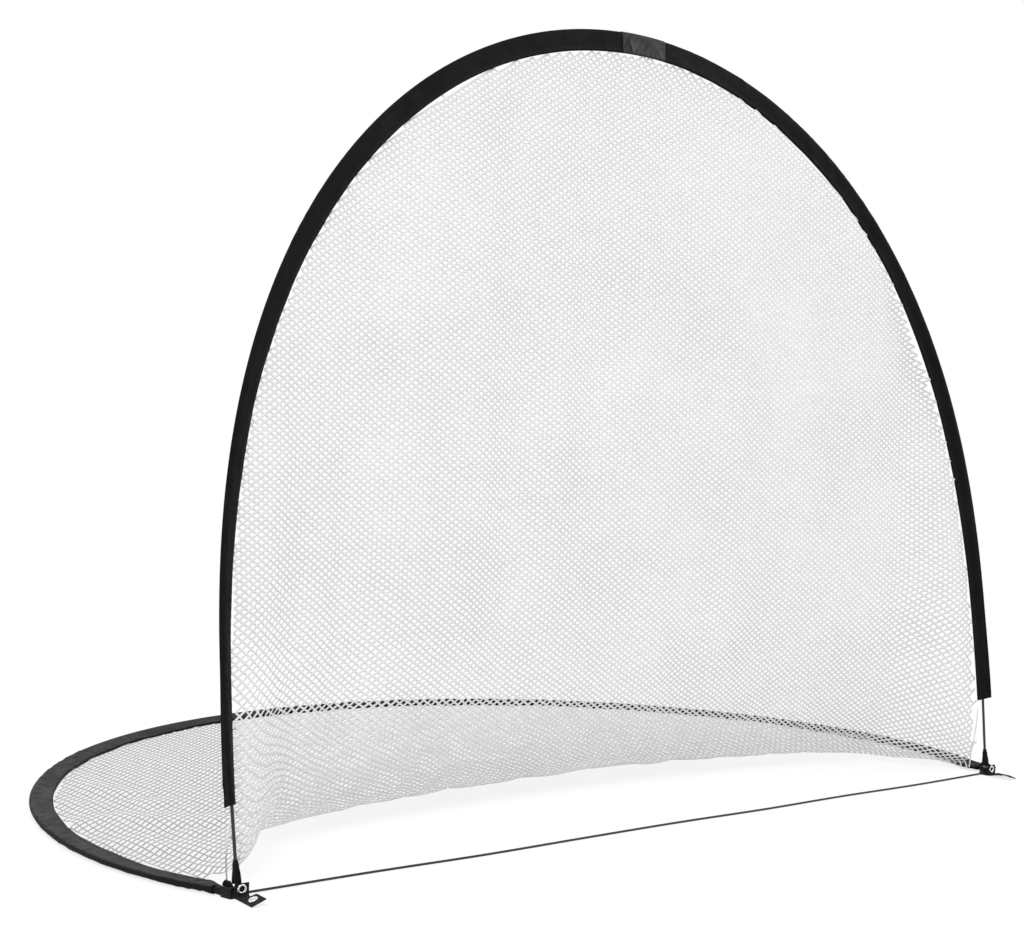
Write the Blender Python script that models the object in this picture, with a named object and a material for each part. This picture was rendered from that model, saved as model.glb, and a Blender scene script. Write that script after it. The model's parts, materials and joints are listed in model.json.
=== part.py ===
# Pop-up soccer goal: a bent-rod front hoop that stands on two corner hinges, a ground hoop that lies
# behind it, and a loose net sewn to the sleeves of both. The front hoop folds back onto the ground hoop.
# X runs along the goal line, Y from the mouth to the back, Z up from the ground. Metres and degrees.

from math import atan2, cos, hypot, inf, pi, radians, sin, tan

import bmesh
import bpy
from mathutils import Matrix, Vector

# Driving dimensions of the goal
GOAL_WIDTH = 1.83
FRONT_LEAN = 6.5
GROUND_ROD_HEIGHT = 0.008
HINGE_HEIGHT = 0.0105

# Bend of each rod in radians: the crown's turn, and how it changes towards the foot
FRONT_BEND_ANGLES = (2.353, -1.487, -1.263)
GROUND_BEND_ANGLES = (2.069, -1.586, 2.856)
HOOP_STATIONS = 56
STEPS_PER_STATION = 12

# Rods, ferrules and the metal ends at the corners
ROD_DIAMETER = 0.0055
ROD_SIDES = 8
ROD_FIT = 0.0003
FERRULE_WALL = 0.0009
FERRULE_LENGTH = 0.052
ROD_END_GAP = 0.0006
SOCKET_WALL = 0.0012
SOCKET_SIDES = 12
LEG_SOCKET_TOP = 0.034
GROUND_SOCKET_OFFSET = 0.012
GROUND_SOCKET_BACK = 0.008
GROUND_SOCKET_END = 0.034
PIN_DIAMETER = 0.0032
PIN_FIT = 0.0003
PIN_HEAD_DIAMETER = 0.0070
PIN_HEAD_HEIGHT = 0.0011
PIN_HEAD_ROUNDING = 0.0010
PIN_REACH = 0.0088
EYE_RADIUS = 0.0050
EYE_DROP = 0.0048
EYE_CORNER_DROP = 0.0035
EYE_THICKNESS = 0.0022
EYE_FLAT_TOP = 0.0070
EYE_ROUND_TOP = 0.0088
CHEEK_FIT = 0.0004
CHEEK_THICKNESS = 0.0016
CHEEK_RADIUS = 0.0058
CHEEK_ARC_STEPS = 8
WEB_FRONT = 0.0085
WEB_THICKNESS = 0.0015
WEB_OUTER = 0.0150

# Fabric boots over the sockets, and the rubber shoe round each hinge
CLEARANCE = 0.0003
LEG_BOOT_START = 0.0092
LEG_BOOT_END = 0.041
GROUND_BOOT_LENGTH = 0.023
BOOT_SHOULDER = 0.0068
BOOT_WALL_WIDE = 0.0027
BOOT_WALL_NARROW = 0.0010
BOOT_SIDES = 14
SHOE_WALL = 0.0025
SHOE_INNER = 0.0100
SHOE_FRONT = 0.0130
SHOE_BACK = 0.0080
SHOE_HEIGHT = 0.0170

# Peg tab of webbing with two pressed eyelets
TAB_WIDTH = 0.025
TAB_THICKNESS = 0.0016
TAB_REACH = 0.052
TAB_TILT = 20.0
TAB_BEND = 0.004
TAB_BEND_STEPS = 3
TAB_MARGIN = 0.0012
TAB_EYELET_FROM_TIP = 0.019
EYELET_DIAMETER = 0.0155
EYELET_HOLE = 0.0084
EYELET_METAL = 0.0007
EYELET_ROUNDING = 0.0008
EYELET_SIDES = 20

# Sleeves: a folded strip of cloth, round over the rod and flat towards the net
SLEEVE_WIDTH = 0.042
SLEEVE_HEAD = 0.0080
SLEEVE_CLOTH = 0.0016
SLEEVE_MIDDLE = 0.0034
SLEEVE_EDGE = 0.0012
FRONT_SLEEVE_START = 0.143
GROUND_SLEEVE_START = 0.040
FRONT_TILT = (0.0, 38.0)
GROUND_TILT = (-9.0, -20.0)
TILT_POWER = 1.5
FRONT_FLAP = 0.016
FRONT_FLAP_LENGTH = 0.310

# Bare patch on the crown
PATCH_WIDTH = 0.110
PATCH_THICKNESS = 0.0012

# Net: how soon it falls from the front hoop and runs back along the ground, and its coarse mesh
NET_FALL_POWER = 8.0
NET_RUN_POWER = 2.0
NET_LAST_RISE_POWER = 6.0
NET_FLOOR = 0.003
NET_SAMPLES = 120
NET_COLUMNS = 16
NET_ROWS = 8
NET_STRAND = 0.010
NET_LEAST_OPEN = 0.4
NET_THICKNESS = 0.0016
NET_GAP = 0.0012

# Cord along the goal line, tied to both shoes
CORD_DIAMETER = 0.004
KNOT_DIAMETER = 0.008
KNOT_RINGS = ((-1.0, 0.45), (-0.6, 0.85), (0.0, 1.0), (0.6, 0.85), (1.0, 0.45))
KNOT_SIDES = 10
CORD_POINTS = 60
CORD_SWAY = (0.0, 0.003, -0.002, 0.002, 0.004, -0.001, 0.002, -0.002, 0.0)

# Sizes that follow from the driving ones
ROD_RADIUS = ROD_DIAMETER / 2
BORE_RADIUS = ROD_RADIUS + ROD_FIT
SOCKET_RADIUS = BORE_RADIUS + SOCKET_WALL
FERRULE_RADIUS = BORE_RADIUS + FERRULE_WALL
BOOT_RADIUS = SOCKET_RADIUS + CLEARANCE + BOOT_WALL_WIDE
PIN_RADIUS = PIN_DIAMETER / 2
PIN_HOLE_RADIUS = PIN_RADIUS + PIN_FIT
CHEEK_INSIDE = EYE_THICKNESS / 2 + CHEEK_FIT
CHEEK_OUTSIDE = CHEEK_INSIDE + CHEEK_THICKNESS
SOLE = GROUND_ROD_HEIGHT - SOCKET_RADIUS - CLEARANCE
TAB_BACK = SHOE_FRONT + EYELET_METAL + 2 * CLEARANCE
TAB_LEVEL = TAB_THICKNESS / 2 + EYELET_METAL + 2 * CLEARANCE
TAB_EYELET_HEIGHT = TAB_LEVEL + TAB_BEND + EYELET_DIAMETER / 2 + CLEARANCE


def clear_scene():
    for item in list(bpy.data.objects):
        bpy.data.objects.remove(item, do_unlink=True)


def make_material(name, colour, roughness, metallic=0.0):
    material = bpy.data.materials.new(name)
    material.use_nodes = True
    shader = material.node_tree.nodes["Principled BSDF"]
    shader.inputs["Base Color"].default_value = (*colour, 1.0)
    shader.inputs["Roughness"].default_value = roughness
    shader.inputs["Metallic"].default_value = metallic
    return material


def add_object(name, mesh, material, parent=None):
    item = bpy.data.objects.new(name, mesh)
    bpy.context.scene.collection.objects.link(item)
    mesh.materials.append(material.copy())
    mesh.materials[0].name = name
    item.parent = parent
    return item


def add_empty(name, location, turn_x=0.0):
    item = bpy.data.objects.new(name, None)
    bpy.context.scene.collection.objects.link(item)
    item.location = location
    item.rotation_euler = (turn_x, 0.0, 0.0)
    return item


def loft(name, rings, joined_ends=False):
    """Mesh through rings of equal point counts. Its ends are capped, or joined to each other."""
    bm = bmesh.new()
    loops = [[bm.verts.new(point) for point in ring] for ring in rings]
    count = len(loops[0])
    pairs = list(zip(loops, loops[1:]))
    if joined_ends:
        pairs.append((loops[-1], loops[0]))
    for low, high in pairs:
        for k in range(count):
            after = (k + 1) % count
            bm.faces.new((low[k], low[after], high[after], high[k]))
    if not joined_ends:
        bm.faces.new(list(reversed(loops[0])))
        bm.faces.new(loops[-1])
    bmesh.ops.recalc_face_normals(bm, faces=bm.faces)
    mesh = bpy.data.meshes.new(name)
    bm.to_mesh(mesh)
    bm.free()
    mesh.shade_smooth()
    mesh.set_sharp_from_angle(angle=radians(40))
    return mesh


def turned(name, profile, sides):
    """Ring about Z from a closed profile of (radius, height)."""
    rings = []
    for k in range(sides):
        angle = 2 * pi * k / sides
        rings.append([Vector((r * cos(angle), r * sin(angle), z)) for r, z in profile])
    return loft(name, rings, joined_ends=True)


def turned_solid(name, profile, sides):
    """Solid of revolution: the profile's rings stacked along Z and capped."""
    rings = []
    for r, z in profile:
        rings.append([Vector((x, y, z)) for x, y in round_section(r, sides)])
    return loft(name, rings)


def prism(name, outline, low, high):
    """Upright prism from a plan outline of (x, y)."""
    return loft(name, [[Vector((x, y, z)) for x, y in outline] for z in (low, high)])


def add_boolean(item, operation, cutter):
    modifier = item.modifiers.new(operation.title(), "BOOLEAN")
    modifier.operation = operation
    modifier.object = cutter
    modifier.solver = "EXACT"
    return modifier


def add_guide(name, mesh, parent=None):
    """A shape that only cuts or joins another one."""
    item = bpy.data.objects.new(name, mesh)
    bpy.context.scene.collection.objects.link(item)
    item.hide_render = True
    item.display_type = "WIRE"
    item.parent = parent
    return item


def pointing(origin, direction, turn_to=Vector((0, 0, 1))):
    """Matrix that takes Z to the direction at the origin."""
    z = direction.normalized()
    x = turn_to.cross(z)
    if x.length < 1e-6:
        x = Vector((1, 0, 0))
    x.normalize()
    y = z.cross(x)
    matrix = Matrix((x, y, z)).transposed().to_4x4()
    matrix.translation = origin
    return matrix


# The hoops

def bent_rod(width, bend):
    """Stations (x, h, distance) of a rod bent over a base of the given width, left foot first.

    The tangent turns by crown*t + middle*t^3/3 + foot*t^5/5 for t from -1 at the left foot to 1.
    """
    crown, middle, foot = bend
    steps = HOOP_STATIONS * STEPS_PER_STATION
    x, h = 0.0, 0.0
    raw = [(x, h)]
    for k in range(steps):
        t = -1 + 2 * (k + 0.5) / steps
        slope = crown * t + middle * t ** 3 / 3 + foot * t ** 5 / 5
        x += cos(slope)
        h -= sin(slope)
        if (k + 1) % STEPS_PER_STATION == 0:
            raw.append((x, h))
    scale = width / raw[-1][0]
    stations = [((x - raw[-1][0] / 2) * scale, h * scale) for x, h in raw]
    distances = [0.0]
    for (xa, ha), (xb, hb) in zip(stations, stations[1:]):
        distances.append(distances[-1] + hypot(xb - xa, hb - ha))
    return [(x, h, d) for (x, h), d in zip(stations, distances)]


def stretch(rod, start, end):
    """The part of a rod's line between two distances, as (x, h, distance)."""
    points = []
    for (xa, ha, da), (xb, hb, db) in zip(rod, rod[1:]):
        if db <= start or da >= end:
            continue
        share_a = max(0.0, (start - da) / (db - da))
        share_b = min(1.0, (end - da) / (db - da))
        if not points:
            points.append((xa + (xb - xa) * share_a, ha + (hb - ha) * share_a, da + (db - da) * share_a))
        points.append((xa + (xb - xa) * share_b, ha + (hb - ha) * share_b, da + (db - da) * share_b))
    return points


def outward(points, k):
    """Direction out of the hoop at point k, lengthened so that a mitred corner keeps its width."""
    normals = []
    for a, b in ((k - 1, k), (k, k + 1)):
        if a < 0 or b >= len(points):
            continue
        dx, dh = points[b][0] - points[a][0], points[b][1] - points[a][1]
        length = hypot(dx, dh)
        normals.append((-dh / length, dx / length))
    if len(normals) == 1:
        return normals[0]
    nx, nh = normals[0][0] + normals[1][0], normals[0][1] + normals[1][1]
    size = hypot(nx, nh)
    half_turn = size / 2
    return nx / size / half_turn, nh / size / half_turn


def swept(points, section_at):
    """Rings of a section carried along a hoop. A section holds (out, back) pairs for a distance."""
    rings = []
    for k, (x, h, distance) in enumerate(points):
        nx, nh = outward(points, k)
        rings.append([Vector((x + nx * out, back, h + nh * out)) for out, back in section_at(distance)])
    return rings


def round_section(radius, sides):
    return [(radius * cos(2 * pi * k / sides), radius * sin(2 * pi * k / sides)) for k in range(sides)]


def tube_along(name, points, outer, inner, sides):
    """Tube of two radii along a hoop."""
    outside = swept(points, lambda distance: round_section(outer, sides))
    inside = swept(points, lambda distance: round_section(inner, sides))
    return loft(name, outside + list(reversed(inside)), joined_ends=True)


def sleeve_tilt(distance, length, tilt):
    """Turn of the sleeve about its rod, from the crown's to the foot's, in radians."""
    share = abs(2 * distance / length - 1)
    return radians(tilt[0] + (tilt[1] - tilt[0]) * share ** TILT_POWER)


def turned_pair(out, back, angle):
    return out * cos(angle) + back * sin(angle), back * cos(angle) - out * sin(angle)


# Points of a sleeve and of its channel round the rod, in degrees
SLEEVE_ANGLES = (50, 105)
CHANNEL_ANGLES = (0, 50, 105, 150, 172, -172, -150, -105, -50)


def sleeve_head(distance, length, start, flap):
    """Reach of the cloth out past the rod's centre. It grows by the flap towards an open foot."""
    from_foot = min(distance, length - distance) - start
    share = max(0.0, 1 - from_foot / FRONT_FLAP_LENGTH)
    return SLEEVE_HEAD + flap * share * share * (3 - 2 * share)


def sleeve_section(head, angle, deepest=inf):
    """Outline of the folded cloth: round over the rod and flat at the seam, no deeper than the ground."""
    reach = SLEEVE_WIDTH - head
    upper = [(SLEEVE_HEAD * cos(radians(a)), SLEEVE_HEAD * sin(radians(a))) for a in SLEEVE_ANGLES]
    upper += [(-reach / 2, SLEEVE_MIDDLE), (-reach, SLEEVE_EDGE)]
    lower = [(out, -back) for out, back in reversed(upper)]
    outline = [(head, 0.0)] + upper + lower
    turned_outline = [turned_pair(out, back, angle) for out, back in outline]
    return [(out, min(back, deepest)) for out, back in turned_outline]


def channel_section(angle, deepest):
    radius = SLEEVE_HEAD - SLEEVE_CLOTH
    pairs = [(radius * cos(radians(a)), radius * sin(radians(a))) for a in CHANNEL_ANGLES]
    turned_pairs = [turned_pair(out, back, angle) for out, back in pairs]
    return [(out, min(back, deepest)) for out, back in turned_pairs]


def make_sleeve(name, rod, start, tilt, flap=0.0, deepest=inf):
    length = rod[-1][2]
    points = stretch(rod, start, length - start)

    def outside(distance):
        head = sleeve_head(distance, length, start, flap)
        return sleeve_section(head, sleeve_tilt(distance, length, tilt), deepest)

    def inside(distance):
        return channel_section(sleeve_tilt(distance, length, tilt), deepest - SLEEVE_CLOTH)

    return loft(name, swept(points, outside) + list(reversed(swept(points, inside))), joined_ends=True)


def make_hoop(prefix, rod, socket_start, parent, rod_material, steel):
    """Two rod halves that meet in a steel ferrule at the crown."""
    middle = rod[-1][2] / 2
    halves = (
        ("left", socket_start, middle - ROD_END_GAP / 2),
        ("right", middle + ROD_END_GAP / 2, rod[-1][2] - socket_start),
    )
    for side, start, end in halves:
        rings = swept(stretch(rod, start, end), lambda distance: round_section(ROD_RADIUS, ROD_SIDES))
        add_object(f"{prefix}_rod_{side}", loft(f"{prefix}_rod_{side}", rings), rod_material, parent)
    span = stretch(rod, middle - FERRULE_LENGTH / 2, middle + FERRULE_LENGTH / 2)
    inner = BORE_RADIUS / cos(pi / ROD_SIDES)
    mesh = tube_along(f"{prefix}_ferrule", span, FERRULE_RADIUS / cos(pi / ROD_SIDES), inner, ROD_SIDES)
    add_object(f"{prefix}_ferrule", mesh, steel, parent)


# The corners. Each is built for the left foot, at the hinge, and mirrored for the right one.

def mirrored(mesh, side):
    if side > 0:
        mesh.transform(Matrix.Scale(-1, 4, Vector((1, 0, 0))))
        mesh.flip_normals()
    return mesh


def leg_socket(direction):
    """Tube on the leg's foot, pressed flat below into an eye for the hinge pin."""
    levels = (-EYE_DROP, -EYE_CORNER_DROP, 0.0, EYE_FLAT_TOP, EYE_ROUND_TOP, LEG_SOCKET_TOP)
    rings = []
    for z in levels:
        depth = (EYE_RADIUS ** 2 - z ** 2) ** 0.5 if z < 0 else EYE_RADIUS
        depth = SOCKET_RADIUS if z >= EYE_ROUND_TOP else depth
        half = EYE_THICKNESS / 2 if z < EYE_ROUND_TOP else SOCKET_RADIUS
        ring = []
        for k in range(SOCKET_SIDES):
            angle = 2 * pi * k / SOCKET_SIDES
            x = max(-half, min(half, SOCKET_RADIUS * cos(angle)))
            ring.append(Vector((x, depth * sin(angle), z)))
        rings.append(ring)
    bore = BORE_RADIUS / cos(pi / SOCKET_SIDES)
    for z in (LEG_SOCKET_TOP, EYE_ROUND_TOP + SOCKET_WALL):
        rings.append([Vector((x, y, z)) for x, y in round_section(bore, SOCKET_SIDES)])
    mesh = loft("leg_socket", rings)
    lean = atan2(-direction.x, direction.z)
    upright = Matrix.Rotation(-lean, 4, "Y")
    for vertex in mesh.vertices:
        if vertex.co.z >= EYE_FLAT_TOP:
            vertex.co = upright @ vertex.co
    return mesh


def cross_pin(radius, length, name="pin_cutter"):
    """Round bar along X, centred on the hinge."""
    rings = []
    for x in (-length / 2, length / 2):
        rings.append([Vector((x, y, z)) for y, z in round_section(radius, SOCKET_SIDES)])
    return loft(name, rings)


def hinge_pin():
    """Rivet along X with a head outside each cheek."""
    seat = CHEEK_OUTSIDE + CLEARANCE
    head = PIN_HEAD_DIAMETER / 2
    top = seat + PIN_HEAD_HEIGHT
    levels = (
        (-top, head - PIN_HEAD_ROUNDING),
        (-seat - PIN_HEAD_HEIGHT / 2, head),
        (-seat, head),
        (-seat, PIN_RADIUS),
        (seat, PIN_RADIUS),
        (seat, head),
        (seat + PIN_HEAD_HEIGHT / 2, head),
        (top, head - PIN_HEAD_ROUNDING),
    )
    rings = []
    for x, radius in levels:
        rings.append([Vector((x, y, z)) for y, z in round_section(radius, SOCKET_SIDES)])
    return loft("hinge_pin", rings)


def cheek_outline():
    """Side view (y, z) of a bracket cheek: round over the pin and square at the web."""
    points = [(-WEB_FRONT, CHEEK_RADIUS), (-WEB_FRONT, -CHEEK_RADIUS)]
    for k in range(CHEEK_ARC_STEPS + 1):
        angle = -pi / 2 + pi * k / CHEEK_ARC_STEPS
        points.append((CHEEK_RADIUS * cos(angle), CHEEK_RADIUS * sin(angle)))
    return points


def bracket_plates():
    """The bent strip: two cheeks, and the web in front that reaches out to the rod socket."""
    plates = []
    for near, far in ((-CHEEK_OUTSIDE, -CHEEK_INSIDE), (CHEEK_INSIDE, CHEEK_OUTSIDE)):
        rings = [[Vector((x, y, z)) for y, z in cheek_outline()] for x in (near, far)]
        plates.append(loft("cheek", rings))
    web = [(-WEB_OUTER, -WEB_FRONT), (CHEEK_OUTSIDE, -WEB_FRONT)]
    web += [(CHEEK_OUTSIDE, -WEB_FRONT + WEB_THICKNESS), (-WEB_OUTER, -WEB_FRONT + WEB_THICKNESS)]
    plates.append(prism("web", web, -CHEEK_RADIUS, CHEEK_RADIUS))
    return plates


def socket_tube(start, end, floor):
    """Blind tube along Z from start to end, closed up to floor."""
    bore = BORE_RADIUS / cos(pi / SOCKET_SIDES)
    levels = ((SOCKET_RADIUS, start), (SOCKET_RADIUS, end), (bore, end), (bore, floor))
    return turned_solid("socket", levels, SOCKET_SIDES)


def boot(start, end):
    """Tapered cloth boot round a socket, along Z."""
    inner = (SOCKET_RADIUS + CLEARANCE) / cos(pi / BOOT_SIDES)
    profile = [(inner, start), (BOOT_RADIUS, start), (BOOT_RADIUS, start + BOOT_SHOULDER)]
    profile += [(inner + BOOT_WALL_NARROW, end), (inner, end)]
    return turned("boot", profile, BOOT_SIDES)


def shoe_outline(inset, back, run):
    """Plan of the shoe, flared on its outer side along the run of the ground rod."""
    rod_side = GROUND_SOCKET_OFFSET + (SOCKET_RADIUS + CLEARANCE - back * run.x) / run.y
    return [
        (SHOE_INNER - inset, -SHOE_FRONT + inset),
        (SHOE_INNER - inset, back),
        (inset - rod_side - SHOE_WALL, back),
        (inset - WEB_OUTER - CLEARANCE - SHOE_WALL, -SHOE_FRONT + inset),
    ]


def tab_frames():
    """Middle line of the webbing in side view, down the shoe's front and then forward over the ground.

    Each entry is (y, z, pitch, lift), where lift is the slope of the webbing across its width.
    """
    y = -TAB_BACK - TAB_THICKNESS / 2
    tip = y - TAB_BEND - TAB_REACH
    frames = [(y, TAB_EYELET_HEIGHT + EYELET_DIAMETER / 2 + TAB_MARGIN, pi / 2, 0.0)]
    for k in range(TAB_BEND_STEPS + 1):
        pitch = pi / 2 * (1 - k / TAB_BEND_STEPS)
        bend_y = y - TAB_BEND * (1 - sin(pitch))
        frames.append((bend_y, TAB_LEVEL + TAB_BEND * (1 - cos(pitch)), pitch, 0.0))
    lift = tan(radians(TAB_TILT))
    frames.append((tip + TAB_EYELET_FROM_TIP + EYELET_DIAMETER / 2 + TAB_MARGIN, TAB_LEVEL, 0.0, lift))
    frames.append((tip, TAB_LEVEL, 0.0, lift))
    return frames


def tab_mesh():
    """Webbing strip. Its inner edge lifts towards the tip."""
    rings = []
    for y, z, pitch, lift in tab_frames():
        ring = []
        for across, side in ((-0.5, -0.5), (0.5, -0.5), (0.5, 0.5), (-0.5, 0.5)):
            thick = side * TAB_THICKNESS
            rise = (across + 0.5) * TAB_WIDTH * lift
            ring.append(Vector((across * TAB_WIDTH, y - thick * sin(pitch), z + thick * cos(pitch) + rise)))
        rings.append(ring)
    return loft("peg_tab", rings)


def tab_eyelet_place():
    """Place of the eyelet that lies on the tilted end of the tab."""
    y, z, pitch, lift = tab_frames()[-1]
    centre = Vector((0.0, y + TAB_EYELET_FROM_TIP, z + TAB_WIDTH / 2 * lift))
    return pointing(centre, Vector((-lift, 0.0, 1.0)), Vector((0, 1, 0)))


def corner_eyelet_place():
    """Place of the eyelet that stands on the upright part of the tab, in front of the shoe."""
    centre = Vector((0.0, -TAB_BACK - TAB_THICKNESS / 2, TAB_EYELET_HEIGHT))
    return pointing(centre, Vector((0, -1, 0)))


def eyelet():
    """Pressed ring with a flange on each side of the webbing, about Z."""
    seat = TAB_THICKNESS / 2 + CLEARANCE / 2
    outer = EYELET_DIAMETER / 2
    bore = EYELET_HOLE / 2
    barrel = bore + EYELET_METAL
    top = seat + EYELET_METAL
    profile = [(bore, -top), (outer, -top), (outer, -seat), (barrel, -seat)]
    profile += [(barrel, seat), (outer, seat), (outer - EYELET_ROUNDING, top), (bore, top)]
    return turned("eyelet", profile, EYELET_SIDES)


def eyelet_cutter():
    radius = EYELET_HOLE / 2 + EYELET_METAL + CLEARANCE
    reach = TAB_THICKNESS * 2
    return turned_solid("eyelet_cutter", ((radius, -reach), (radius, reach)), EYELET_SIDES)


def knot():
    """Small overhand knot, about X. Each ring is a share of the radius along X and out from it."""
    radius = KNOT_DIAMETER / 2
    rings = []
    for share, width in KNOT_RINGS:
        ring = []
        for k in range(KNOT_SIDES):
            angle = 2 * pi * k / KNOT_SIDES
            ring.append(Vector((radius * share, radius * width * cos(angle), radius * width * sin(angle))))
        rings.append(ring)
    return loft("cord_knot", rings)


def make_corner(side, ground, front, front_pivot, materials):
    """All pieces of one corner. Side is -1 at the left foot and 1 at the right one."""
    word = "left" if side < 0 else "right"
    steel = materials["steel"]
    cloth = materials["cloth"]
    foot = Vector((side * GOAL_WIDTH / 2, 0.0, 0.0))

    def put(name, mesh, material, place, parent):
        mirrored(mesh, side)
        item = add_object(f"{name}_{word}", mesh, material, parent)
        item.location = place
        return item

    def guide(name, mesh, place, parent):
        mirrored(mesh, side)
        item = add_guide(f"{name}_{word}", mesh, parent)
        item.location = place
        return item

    hinge = foot + Vector((0, HINGE_Y, HINGE_HEIGHT))
    ground_line = foot + Vector((0, HINGE_Y, 0.0))

    # The leg's socket and boot turn with the front hoop, about its pivot
    leg = Vector((front[1][0] - front[0][0], 0, front[1][1] - front[0][1])).normalized()
    socket = put("leg_socket", leg_socket(leg), steel, foot, front_pivot)
    hole = guide("leg_socket_hole", cross_pin(PIN_HOLE_RADIUS, PIN_REACH), foot, front_pivot)
    add_boolean(socket, "DIFFERENCE", hole)
    leg_boot = boot(LEG_BOOT_START, LEG_BOOT_END)
    leg_boot.transform(pointing(Vector((0, 0, 0)), leg, Vector((0, 1, 0))))
    put("leg_boot", leg_boot, cloth, foot, front_pivot)

    # The bracket stands on the shoe's sole and holds the end of the ground rod
    run = Vector((ground[1][0] - ground[0][0], ground[1][1] - ground[0][1], 0)).normalized()
    drop = GROUND_ROD_HEIGHT - HINGE_HEIGHT
    outer_cheek, inner_cheek, web = bracket_plates()
    bracket = put("hinge_bracket", web, steel, hinge, None)
    add_boolean(bracket, "UNION", guide("outer_cheek", outer_cheek, hinge, None))
    add_boolean(bracket, "UNION", guide("inner_cheek", inner_cheek, hinge, None))
    tube = socket_tube(-GROUND_SOCKET_BACK, GROUND_SOCKET_END, 0.0)
    tube.transform(pointing(Vector((-GROUND_SOCKET_OFFSET, 0, drop)), run))
    add_boolean(bracket, "UNION", guide("ground_socket", tube, hinge, None))
    hole = guide("bracket_hole", cross_pin(PIN_HOLE_RADIUS, PIN_REACH), hinge, None)
    add_boolean(bracket, "DIFFERENCE", hole)
    put("hinge_pin", hinge_pin(), steel, hinge, None)
    boot_start = (SHOE_BACK + CLEARANCE + BOOT_RADIUS * abs(run.x)) / run.y
    ground_boot = boot(boot_start, boot_start + GROUND_BOOT_LENGTH)
    ground_boot.transform(pointing(Vector((-GROUND_SOCKET_OFFSET, 0, GROUND_ROD_HEIGHT)), run))
    put("ground_boot", ground_boot, cloth, ground_line, None)

    # The shoe: a thick sole with a wall on three sides, open behind for the folding leg
    shoe = put("corner_shoe", prism("corner_shoe", shoe_outline(0.0, SHOE_BACK, run), 0.0, SHOE_HEIGHT),
               materials["rubber"], ground_line, None)
    hollow_outline = shoe_outline(SHOE_WALL, SHOE_BACK + SHOE_WALL, run)
    hollow = prism("shoe_hollow", hollow_outline, SOLE, SHOE_HEIGHT + SHOE_WALL)
    add_boolean(shoe, "DIFFERENCE", guide("shoe_hollow", hollow, ground_line, None))

    # The webbing tab in front with its eyelets
    tab = put("peg_tab", tab_mesh(), materials["webbing"], ground_line, None)
    for name, place in (("corner_eyelet", corner_eyelet_place()), ("tab_eyelet", tab_eyelet_place())):
        ring = eyelet()
        ring.transform(place)
        put(name, ring, materials["eyelet"], ground_line, None)
        cutter = eyelet_cutter()
        cutter.transform(place)
        add_boolean(tab, "DIFFERENCE", guide(f"{name}_hole", cutter, ground_line, None))

    # The knot that holds the cord against the shoe
    inward = SHOE_INNER + CLEARANCE + KNOT_DIAMETER / 2
    place = ground_line + Vector((-side * inward, 0, KNOT_DIAMETER / 2))
    put("cord_knot", knot(), materials["cord"], place, None)


# The net

def seam(rod, start, tilt, share):
    """Point (x, back, h) where the net hangs just inside a sleeve, for a share of its length."""
    length = rod[-1][2]
    distance = start + (length - 2 * start) * share
    near = stretch(rod, distance, distance + NET_GAP)
    nx, nh = outward(near, 0)
    out, back = turned_pair(SLEEVE_HEAD - SLEEVE_WIDTH - NET_GAP, 0.0, sleeve_tilt(distance, length, tilt))
    x, h, _ = near[0]
    return x + nx * out, back, h + nh * out


def evenly(points, count):
    """Points at equal distances along a line."""
    reach = [0.0]
    for a, b in zip(points, points[1:]):
        reach.append(reach[-1] + (b - a).length)
    line = []
    place = 0
    for k in range(count):
        wanted = reach[-1] * k / (count - 1)
        while place < len(points) - 2 and reach[place + 1] < wanted:
            place += 1
        share = (wanted - reach[place]) / (reach[place + 1] - reach[place])
        line.append(points[place].lerp(points[place + 1], share))
    return line


def net_line(front, ground, along, count):
    """Points down the net from the front seam to the ground seam, for a share of the seams' length.

    The net is cut full, so it falls steeply from the front hoop and runs back along the ground.
    """
    lean = radians(FRONT_LEAN)
    fx, fb, fh = seam(front, FRONT_SLEEVE_START, FRONT_TILT, along)
    gx, gb, gh = seam(ground, GROUND_SLEEVE_START, GROUND_TILT, along)
    top_back = fh * sin(lean) + fb * cos(lean)
    top_height = fh * cos(lean) - fb * sin(lean)
    top = Vector((fx, HINGE_Y + top_back, HINGE_HEIGHT + top_height))
    end = Vector((gx, HINGE_Y + gh, GROUND_ROD_HEIGHT - gb))
    line = []
    for k in range(NET_SAMPLES + 1):
        down = (k / NET_SAMPLES) ** NET_RUN_POWER
        x = top.x + (end.x - top.x) * down
        y = top.y + (end.y - top.y) * down ** NET_RUN_POWER
        z = NET_FLOOR + (top.z - NET_FLOOR) * (1 - down) ** NET_FALL_POWER
        z += (end.z - NET_FLOOR) * down ** NET_LAST_RISE_POWER
        line.append(Vector((x, y, z)))
    return evenly(line, count)


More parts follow.
